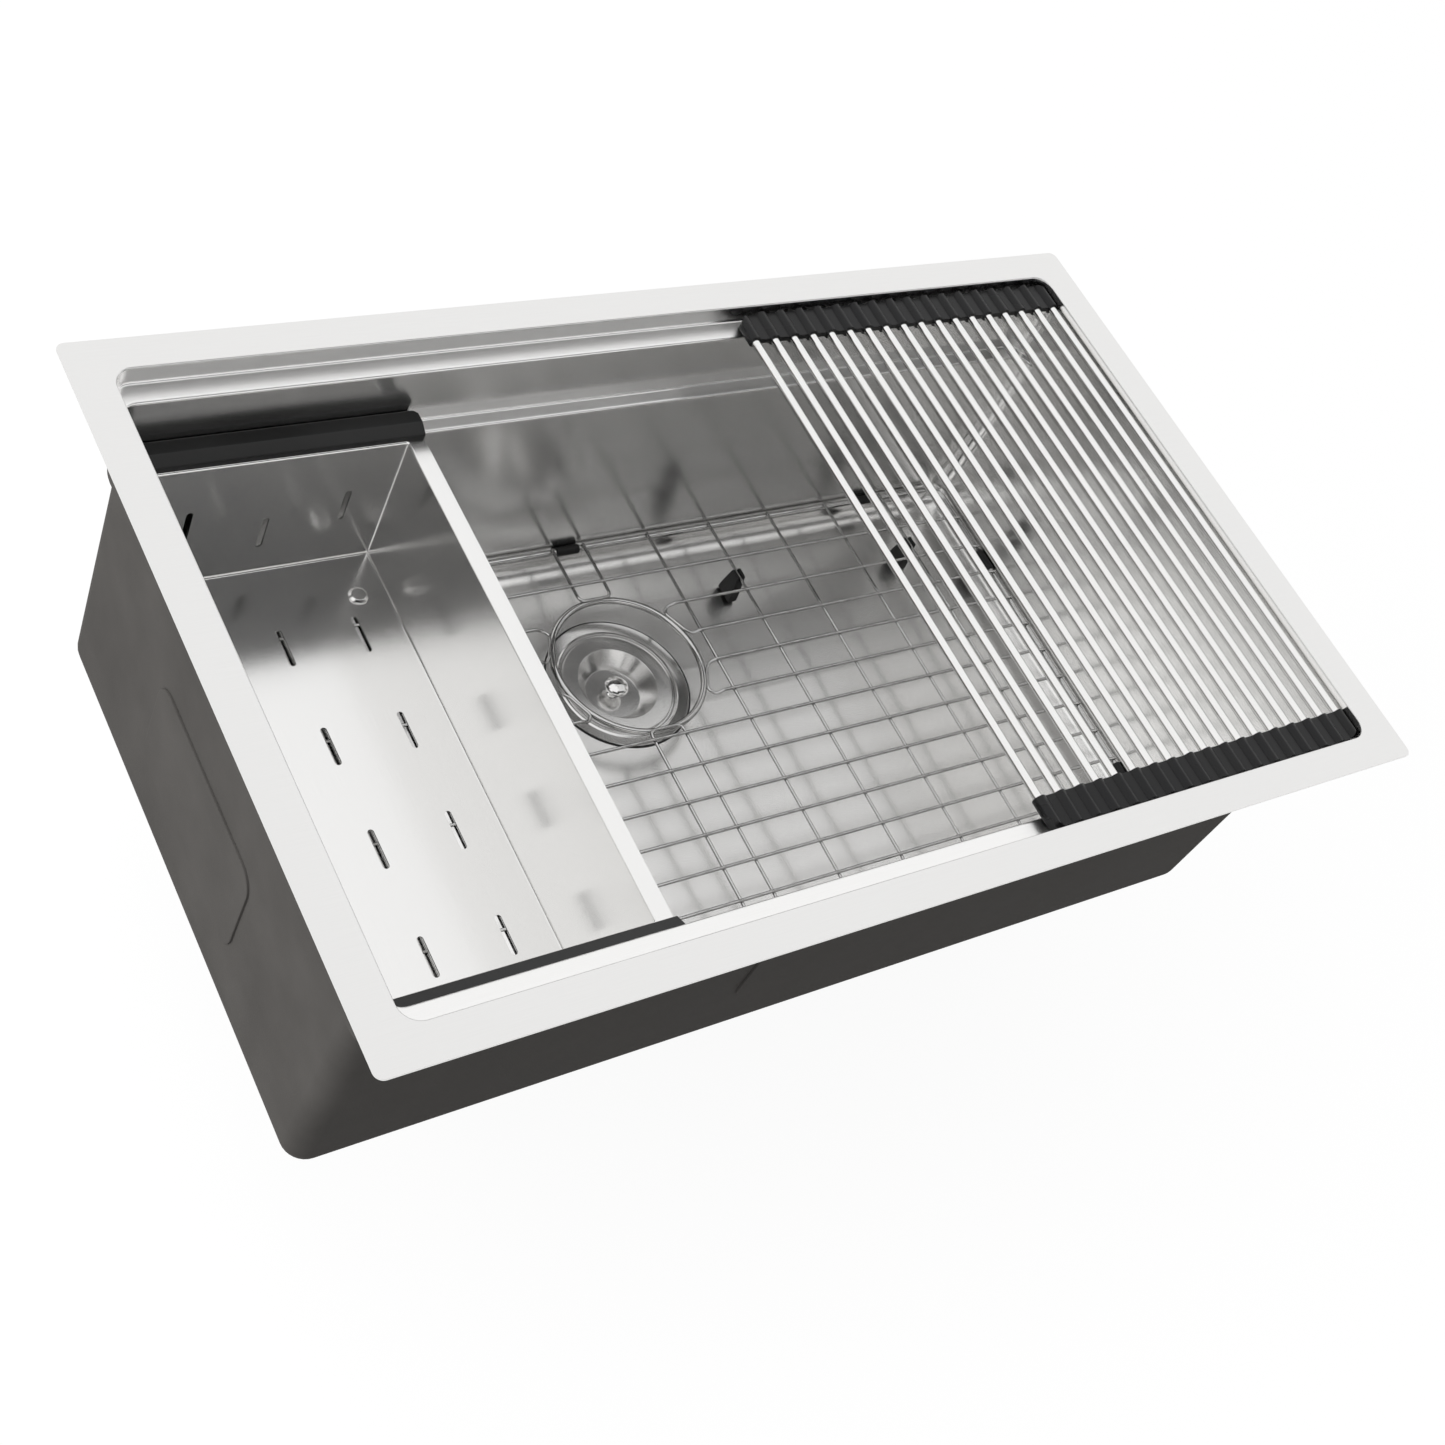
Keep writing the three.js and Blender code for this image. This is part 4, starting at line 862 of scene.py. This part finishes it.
def add_bowl():
    """The bowl in one sheet, and the coat on its outside."""
    bm = sheet_between(0, SHEET, -SHEET, recess_path)
    sheets = ["bowl_shell", "left_end_wall", "right_end_wall"]
    add_piece("bowl", bm, "sink", sheets, "bowl_steel", fold_angle=16)
    bm = sheet_between(COAT_IN, COAT_OUT, -COAT_IN, coat_path)
    add_piece("undercoat_shell", bm, "sink", ["undercoat"], "undercoat", fold_angle=16)


def add_pads():
    """A sound pad on each wall, sprayed over with the coat, so that its edges are soft."""
    places = {
        "left": (END_PAD_HALF, -math.pi / 2, OPENING_HALF_X),
        "right": (END_PAD_HALF, math.pi / 2, OPENING_HALF_X),
        "front": (LONG_PAD_HALF, 0, LOWER_LEDGE_Y),
        "back": (LONG_PAD_HALF, math.pi, LOWER_LEDGE_Y),
    }
    face = PAD_GAP + PAD_THICKNESS
    edge = [(0, PAD_GAP), (0, face - 1.2), (0.35, face - 0.35), (1.2, face)]
    for side, (half, angle, wall) in places.items():
        bm = bmesh.new()
        loops = []
        for back, z in edge:
            corner = PAD_CORNER - back
            loops.append(rounded_loop(bm, half - back, PAD_HALF_HEIGHT - back, corner, z, spacing=0))
        bridge(bm, loops)
        for loop in (loops[0], loops[-1]):
            bmesh.ops.edgeloop_fill(bm, edges=loop)
        bmesh.ops.recalc_face_normals(bm, faces=bm.faces)
        rotated(bm, math.pi / 2, "X")
        shifted(bm, 0, -wall - SHEET, PAD_MIDDLE_Z)
        rotated(bm, angle, "Z")
        add_piece(side + "_pad", bm, "sink", [side + "_sound_pad"], "sound_pad")


# ---- drain -----------------------------------------------
def at_drain(bm):
    return shifted(bm, 0, DRAIN_Y, 0)


def add_drain():
    """What the sink carries on the drain's axis."""
    body = [
        # the flange's edge and slope, the ridge round the lid, the groove inside it and the lid's seat
        (57.2, -247.1),
        (57.2, -245.93),
        (49, -247.5),
        (47.7, -246.9),
        (46.4, -246.9),
        (46, -248.8),
        (44.3, -248.8),
        (44.1, -248.1),
        (42, -248.1),
        # the cup, its cone and the outlet, down the inside and up the outside
        (42, -249.1),
        (38, -253.1),
        (38, -303),
        (20, -315),
        (20, -337),
        (22, -337),
        (22, -316.6),
        (39.6, -304.6),
        (39.6, -272.4),
        # the thread, and the flange's underside
        (43.6, -268.4),
        (43.6, -249.3),
        (48, -249.3),
    ]
    add_piece("drain_body", at_drain(turned(body, 0.5)), "sink", ["strainer_body"], "drain_steel")
    # a dark rubber ring that fills the gap between the flange's edge and the recess: painted shadow,
    # standing in for the shade in that gap
    gap_shadow_ring = ring_section(57.3, 58.9, -247.8, -246.9)
    add_piece("flange_gap_shadow_ring", at_drain(turned(gap_shadow_ring, 0.4)), "sink", [], "gasket_rubber")
    gasket = ring_section(WASHER_IN, WASHER_OUT, GASKET_FOOT, GASKET_TOP)
    add_piece("drain_gasket", at_drain(turned(gasket, 0.8)), "sink", ["strainer_gasket"], "gasket_rubber")
    ring = ring_section(WASHER_IN, WASHER_OUT, LOCK_NUT_TOP, GASKET_FOOT)
    add_piece("drain_friction_ring", at_drain(turned(ring, 0.2)), "sink", ["friction_ring"], "fibre")
    add_lock_nut()
    pipe = [(17, -337.3), (21.6, -337.3), (21.6, -339.9), (19, -339.9), (19, -397.3), (17, -397.3)]
    add_piece("drain_tailpiece", at_drain(turned(pipe, 0.5)), "sink", ["tailpiece"], "pipe_steel")
    add_coupling_nut()


def add_lock_nut():
    """A ring with lugs to turn it by."""
    shapes = [turned(ring_section(WASHER_IN, LOCK_NUT_OUT, LOCK_NUT_FOOT, LOCK_NUT_TOP), 0.8)]
    for i in range(LUGS):
        lug = bmesh.new()
        bmesh.ops.create_cube(lug, size=LUG_SIZE)
        shifted(lug, LOCK_NUT_OUT, 0, LOCK_NUT_FOOT + LUG_SIZE / 2)
        rotated(lug, i * 2 * math.pi / LUGS, "Z")
        shapes.append(soften(lug, 0.9))
    add_piece("drain_lock_nut", at_drain(merged(shapes)), "sink", ["locknut"], "nut_brass")


def add_coupling_nut():
    """A turned blank with bevelled ends, cut to six sides."""
    blank = [
        (19.3, -344.2),
        (27.2, -344.2),
        (COUPLING_CORNER, -342.6),
        (COUPLING_CORNER, -325.8),
        (27.2, -324.2),
        (22.3, -324.2),
        (22.3, -340.2),
        (19.3, -340.2),
    ]
    bm = turned(blank)
    flat = COUPLING_CORNER * math.cos(math.pi / 6)
    for i in range(6):
        angle = (i + 0.5) * math.pi / 3
        away = Vector((math.cos(angle), math.sin(angle), 0))
        trim(bm, away * flat, away)
    bmesh.ops.recalc_face_normals(bm, faces=bm.faces)
    add_piece("drain_coupling_nut", at_drain(bm), "sink", ["coupling_nut"], "nut_brass")


def pierce(bm, faces, radius):
    """Cut a round hole through the middle of a patch of faces."""
    patch = bmesh.ops.dissolve_faces(bm, faces=faces, use_verts=True)["region"][0]
    middle = patch.calc_center_median()
    bmesh.ops.bisect_edges(bm, edges=patch.edges[:], cuts=2)
    bmesh.ops.inset_region(bm, faces=[patch], thickness=0.5, use_even_offset=True)
    for vert in patch.verts:
        vert.co = middle + (vert.co - middle).normalized() * radius
    bmesh.ops.delete(bm, geom=[patch], context="FACES")


def add_basket():
    """A drilled cup, with two rows of holes in its wall and one in its floor, and a post to lift it by."""
    path = [(31, BASKET_FLOOR), (BASKET_WALL, BASKET_FLOOR + 6)]
    for z in BASKET_ROWS:
        path += [(BASKET_WALL, z - ROW_HALF), (BASKET_WALL, z + ROW_HALF)]
    path += [(BASKET_WALL, -253.7), (41, -249.7)]
    bm = spun([(radius, 0, z) for radius, z in path], steps=48)
    for row, z in enumerate(BASKET_ROWS):
        for i in range(HOLES_A_ROW):
            angle = (i + row / 2) * 2 * math.pi / HOLES_A_ROW
            target = Vector((BASKET_WALL * math.cos(angle), BASKET_WALL * math.sin(angle), z))
            near = sorted(bm.faces, key=lambda face: (face.calc_center_median() - target).length)[:2]
            pierce(bm, near, HOLE_RADIUS)
    edges = []
    for edge in bm.edges:
        if edge.is_boundary and all(abs(vert.co.z - BASKET_FLOOR) < 0.01 for vert in edge.verts):
            edges.append(edge)
    for i in range(FLOOR_HOLES):
        angle = i * 2 * math.pi / FLOOR_HOLES
        place = Matrix.Translation((20 * math.cos(angle), 20 * math.sin(angle), BASKET_FLOOR))
        ring = bmesh.ops.create_circle(bm, segments=16, radius=HOLE_RADIUS, matrix=place)["verts"]
        edges += list({edge for vert in ring for edge in vert.link_edges})
    bmesh.ops.triangle_fill(bm, use_beauty=True, edges=edges, normal=(0, 0, 1))
    bmesh.ops.recalc_face_normals(bm, faces=bm.faces)
    # the faces look outwards before the wall gets its thickness
    outer = [face for face in bm.faces if face.calc_center_median().z < -255]
    if max(outer, key=lambda face: face.calc_center_median().x).normal.x < 0:
        bmesh.ops.reverse_faces(bm, faces=bm.faces)
    bmesh.ops.solidify(bm, geom=bm.faces[:], thickness=1)
    post = [
        (0, -293.2),
        (4.5, -293.2),
        (4.5, -291.8),
        (3, -291.2),
        (3, -274.7),
        (7, -274.7),
        (7, -270.7),
        (0, -270.7),
    ]
    whole = merged([bm, turned(post, 0.8, closed=False, steps=32)])
    add_piece("basket", at_drain(whole), "basket", ["strainer_basket"], "drain_steel", fold_angle=40)


def add_lid():
    """The basket's dished cover, and its knob with a domed top."""
    plate = [
        (0, -260.8),
        (22.5, -260.8),
        (32.5, -247.8),
        (43.8, -247.8),
        (43.8, -246.8),
        (32, -246.8),
        (22, -259.8),
        (0, -259.8),
    ]
    add_piece("lid", at_drain(turned(plate, 0.45, closed=False)), "lid", ["basket_lid"], "lid_steel")
    stem = [(0, -259.5), (5.5, -259.5), (5.5, -258.4), (4, -257.4), (4, -253), (8, -252), (9.3, -251.3)]
    angles = [i * math.pi / 16 for i in range(9)]
    dome = [(9.4 * math.cos(angle), -250.5 + 4 * math.sin(angle)) for angle in angles]
    knob = at_drain(turned([*stem, *dome], 0.4, closed=False, steps=48))
    add_piece("knob", knob, "lid", ["lid_knob"], "knob_steel", fold_angle=50)


# ---- bottom grid -----------------------------------------
def row_end(side, y):
    """Where a row wire climbs from the frame onto the columns."""
    return [
        (side * (FRAME_X + WIRE_END), y, COLUMN_Z),
        (side * (FRAME_X - 2.5), y, COLUMN_Z),
        (side * (FRAME_X - 14.5), y, ROW_Z),
    ]


def hairpin_leg(side, y, bend):
    """Where a row wire comes down beside the ring, and bends to lean on its outside."""
    reach = RING_RADIUS + 2.9
    x = math.sqrt(max(reach**2 - (y + bend - DRAIN_Y) ** 2, 0))
    z = FRAME_Z + 2
    return [(side * (x + 11), y, ROW_Z), (side * (x + 5), y, z), (side * x, y + bend, z)]


def add_grid():
    """The welded net of wires in one piece, then its feet and sleeves."""
    thick = FRAME_WIRE / 2
    thin = CROSS_WIRE / 2
    corners = [(FRAME_X, -FRAME_Y), (FRAME_X, FRAME_Y), (-FRAME_X, FRAME_Y), (-FRAME_X, -FRAME_Y)]
    frame_path = rounded_path([(x, y, FRAME_Z) for x, y in corners], FRAME_CORNER, steps=8, closed=True)
    wires = [tube(frame_path, thick, 16, closed=True)]
    ring_path = []
    for i in range(64):
        angle = i * math.pi / 32
        ring_path.append((RING_RADIUS * math.cos(angle), DRAIN_Y + RING_RADIUS * math.sin(angle), FRAME_Z))
    wires.append(tube(ring_path, thick, 16, closed=True))

    end = FRAME_Y + WIRE_END
    for x in COLUMNS:
        for side in (-1, 1):
            wires.append(tube([(side * x, -end, COLUMN_Z), (side * x, end, COLUMN_Z)], thin))
    x = MIDDLE_COLUMN
    for side in (-1, 1):
        turn = DRAIN_Y + side * RING_RADIUS
        hairpin = [(-x, side * end), (-x, turn), (x, turn), (x, side * end)]
        path = rounded_path([(*point, COLUMN_Z) for point in hairpin], 5, steps=6)
        wires.append(tube(path, thin))

    for y in (*[-y for y in FRONT_ROWS], *BACK_ROWS):
        path = [*row_end(-1, y), *reversed(row_end(1, y))]
        wires.append(tube(rounded_path(path, 8), thin))
    for side in (-1, 1):
        for near, far in HAIRPIN_ROWS:
            there = [*row_end(side, near), *hairpin_leg(side, near, 5)]
            back = [*row_end(side, far), *hairpin_leg(side, far, -5)]
            wires.append(tube(rounded_path([*there, *reversed(back)], 5, steps=6), thin))
    add_piece("grid_net", merged(wires), "grid", ["bottom_grid"], "wire_steel", fold_angle=50)
    add_feet()
    add_sleeves()


def grid_foot():
    """A rubber wedge with a notch in its top for the wire."""
    section = [
        (-FOOT_HALF_X, FOOT_BOTTOM),
        (FOOT_HALF_X, FOOT_BOTTOM),
        (FOOT_HALF_X, FOOT_TOP),
        (NOTCH_HALF, FOOT_TOP),
        (NOTCH_HALF, NOTCH_FLOOR),
        (-NOTCH_HALF, NOTCH_FLOOR),
        (-NOTCH_HALF, FOOT_TOP),
        (-FOOT_HALF_X, FOOT_TOP),
    ]
    bm = prism([(x, -FOOT_HALF_Y, z) for x, z in section], (0, 1, 0), 2 * FOOT_HALF_Y)
    # its ends lean in a little, and more from 8 mm up
    for side in (-1, 1):
        trim(bm, (0, side * FOOT_HALF_Y, FOOT_BOTTOM), (0, side * 8, 1))
        trim(bm, (0, side * (FOOT_HALF_Y - 1), FOOT_BOTTOM + 8), (0, side * 18.6, 3.5))
    bmesh.ops.recalc_face_normals(bm, faces=bm.faces)
    return soften(bm, 0.6, angle=25)


def add_feet():
    count = 0
    for column in FOOT_COLUMNS:
        for side_x, side_y in ((-1, -1), (1, -1), (-1, 1), (1, 1)):
            count += 1
            bm = shifted(grid_foot(), side_x * column, side_y * FOOT_Y, 0)
            add_piece(f"rubber_foot_{count}", bm, "grid", [f"grid_foot_{count}"], "grid_rubber")


def add_sleeves():
    """Rubber sleeves round the frame wire."""
    places = []
    for side in (-1, 1):
        places += [(x, side * FRAME_Y, "Y") for x in SLEEVES_X]
        places += [(side * FRAME_X, y, "X") for y in SLEEVES_Y]
    for i, (x, y, axis) in enumerate(places, 1):
        bm = turned(ring_section(SLEEVE_IN, SLEEVE_OUT, -SLEEVE_HALF, SLEEVE_HALF), 0.6, steps=24)
        rotated(bm, math.pi / 2, axis)
        shifted(bm, x, y, FRAME_Z)
        add_piece(f"rubber_sleeve_{i}", bm, "grid", [f"grid_bumper_{i}"], "grid_rubber")


# ---- colander --------------------------------------------
def slot_loop(bm, place):
    """The outline of a slot with round ends."""
    made = bmesh.ops.create_grid(bm, x_segments=1, y_segments=1, size=1)["verts"]
    bmesh.ops.scale(bm, vec=(SLOT_HALF_WIDTH, SLOT_HALF_LENGTH, 1), verts=made)
    face = cut_corners(bm, made, SLOT_HALF_WIDTH - 0.01, 5)
    bmesh.ops.transform(bm, matrix=place, verts=face.verts[:])
    return edges_alone(bm, face)


def slotted_panel(bm, faces, places, normal):
    """Cut slots through the largest of some faces of the tray."""
    edges = edges_alone(bm, max(faces, key=lambda face: face.calc_area()))
    for place in places:
        edges += slot_loop(bm, place)
    bmesh.ops.triangle_fill(bm, use_beauty=True, edges=edges, normal=normal)


def is_top_edge(edge, axis, side):
    half = (TRAY_HALF_X, TRAY_HALF_Y)[axis]
    return all(abs(v.co.z - TRAY_TOP) < 0.01 and abs(v.co[axis] - side * half) < 0.01 for v in edge.verts)


def tray_box():
    """The tray's skin before it is slotted: an open box with turned-out flanges and rounded folds."""
    bm = bmesh.new()
    bmesh.ops.create_cube(bm, size=1)
    depth = TRAY_TOP - TRAY_FLOOR
    bmesh.ops.scale(bm, vec=(2 * TRAY_HALF_X, 2 * TRAY_HALF_Y, depth), verts=bm.verts)
    shifted(bm, 0, 0, TRAY_FLOOR + depth / 2)
    top = [face for face in bm.faces if face.normal.z > 0.5]
    bmesh.ops.delete(bm, geom=top, context="FACES_ONLY")
    for axis, out in ((0, SIDE_FLANGE), (1, END_FLANGE)):
        for side in (-1, 1):
            rim = [edge for edge in bm.edges if edge.is_boundary and is_top_edge(edge, axis, side)]
            drawn = bmesh.ops.extrude_edge_only(bm, edges=rim)["geom"]
            shift = Vector((0, 0, 0))
            shift[axis] = side * out
            bmesh.ops.translate(bm, vec=shift, verts=only(bmesh.types.BMVert, drawn))
    folds = [edge for edge in bm.edges if len(edge.link_faces) == 2]
    bevelled(bm, folds, TRAY_FOLD, 4)
    bm.normal_update()
    return bm


def tray_stud():
    """A stud through the tray's floor, with a broad head above it."""
    profile = [(0, -177), (5, -177), (5, -172.4), (7.2, -172.4), (7.2, -171.2), (5.2, -169.6), (0, -169.4)]
    return turned(profile, 1, closed=False, steps=32)


def add_tray():
    """A folded sheet tray with slots in its floor and end walls, and four studs."""
    bm = tray_box()
    floor = [face for face in bm.faces if face.calc_center_median().z < TRAY_FLOOR + 0.1]
    places = [Matrix.Translation((x, y, TRAY_FLOOR)) for x in SLOT_COLUMNS for y in FLOOR_SLOTS_Y]
    slotted_panel(bm, floor, places, (0, 0, 1))
    stand = Matrix.Rotation(math.pi / 2, 4, "X")
    for side in (-1, 1):
        wall = []
        for face in bm.faces:
            if side * face.calc_center_median().y > TRAY_HALF_Y - 0.1 and abs(face.normal.y) > 0.9:
                wall.append(face)
        places = []
        for x, z in zip(SLOT_COLUMNS, END_SLOTS_Z):
            places.append(Matrix.Translation((x, side * TRAY_HALF_Y, z)) @ stand)
        slotted_panel(bm, wall, places, (0, side, 0))
    bmesh.ops.recalc_face_normals(bm, faces=bm.faces)
    # the floor looks up before the sheet gets its thickness
    if min(bm.faces, key=lambda face: face.calc_center_median().z).normal.z < 0:
        bmesh.ops.reverse_faces(bm, faces=bm.faces)
    bmesh.ops.solidify(bm, geom=bm.faces[:], thickness=TRAY_SHEET)
    shapes = [bm]
    for x in (-STUD_X, STUD_X):
        for y in (-STUD_Y, STUD_Y):
            shapes.append(shifted(tray_stud(), x, y, 0))
    whole = shifted(merged(shapes), TRAY_X, 0, 0)
    add_piece("tray", whole, "colander", ["colander_tray"], "tray_steel", fold_angle=8)


def add_rails():
    """Plastic rails that carry the tray on the ledges, with their outer corners cut off."""
    outline = [(189, -61.7), (209.6, -61.7), (209.6, -50.8), (207, -48.2), (197, -48.2), (189, -52.2)]
    for angle, name in ((0, "back"), (math.pi, "front")):
        bm = prism([(-RAIL_HALF, y, z) for y, z in outline], (1, 0, 0), 2 * RAIL_HALF)
        for end in (-1, 1):
            trim(bm, (end * RAIL_HALF, 204.6, 0), (end, 1, 0))
        bmesh.ops.recalc_face_normals(bm, faces=bm.faces)
        soften(bm, 0.6, angle=15)
        rotated(bm, angle, "Z")
        shifted(bm, TRAY_X, 0, 0)
        add_piece(name + "_rail", bm, "colander", [f"colander_{name}_rail"], "rail_plastic")


# ---- roll-up mat -----------------------------------------
def strip_outline():
    """The ribbed section, as (x, z) points: a round bump over and under each rod."""
    tilt = math.asin(WEB_HALF / BUMP_RADIUS)
    steps = 9
    over = []
    for i in range(RODS):
        middle = FIRST_ROD_X + i * ROD_PITCH
        for step in range(steps + 1):
            angle = math.pi - tilt - (math.pi - 2 * tilt) * step / steps
            over.append((middle + BUMP_RADIUS * math.cos(angle), BUMP_RADIUS * math.sin(angle)))
    under = [(x, -z) for x, z in reversed(over)]
    return [(STRIP_LEFT, 0), *over, (STRIP_RIGHT, 0), *under]


def add_strips():
    """Silicone strips whose outer corners are round, as the bowl's corners are."""
    for side, name in ((1, "back"), (-1, "front")):
        start = min(side * STRIP_IN_Y, side * STRIP_OUT_Y)
        outline = [(x, start, ROD_Z + z) for x, z in strip_outline()]
        bm = prism(outline, (0, 1, 0), STRIP_OUT_Y - STRIP_IN_Y)
        for end, x in ((-1, STRIP_LEFT), (1, STRIP_RIGHT)):
            middle = Vector((x - end * WALL_CORNER, side * (STRIP_OUT_Y - WALL_CORNER), 0))
            for step in range(1, 6):
                angle = step * math.pi / 12
                away = Vector((end * math.cos(angle), side * math.sin(angle), 0))
                trim(bm, middle + away * WALL_CORNER, away)
        bmesh.ops.recalc_face_normals(bm, faces=bm.faces)
        add_piece(name + "_strip", bm, "mat", [f"mat_{name}_strip"], "strip_silicone", fold_angle=40)


def add_rods():
    section = [(0, -ROD_HALF), (ROD_RADIUS, -ROD_HALF), (ROD_RADIUS, ROD_HALF), (0, ROD_HALF)]
    for i in range(RODS):
        bm = rotated(turned(section, 0.6, closed=False, steps=24), math.pi / 2, "X")
        shifted(bm, FIRST_ROD_X + i * ROD_PITCH, 0, ROD_Z)
        add_piece(f"rod_{i + 1}", bm, "mat", [f"mat_rod_{i + 1}"], "rod_steel")


# ---- the whole sink --------------------------------------
add_camera()
add_studio()
add_backdrops()
bpy.context.scene.view_settings.view_transform = "Standard"
FINISH = make_finishes()
add_rim()
add_bowl()
add_pads()
add_drain()
add_basket()
add_lid()
add_grid()
add_tray()
add_rails()
add_strips()
add_rods()
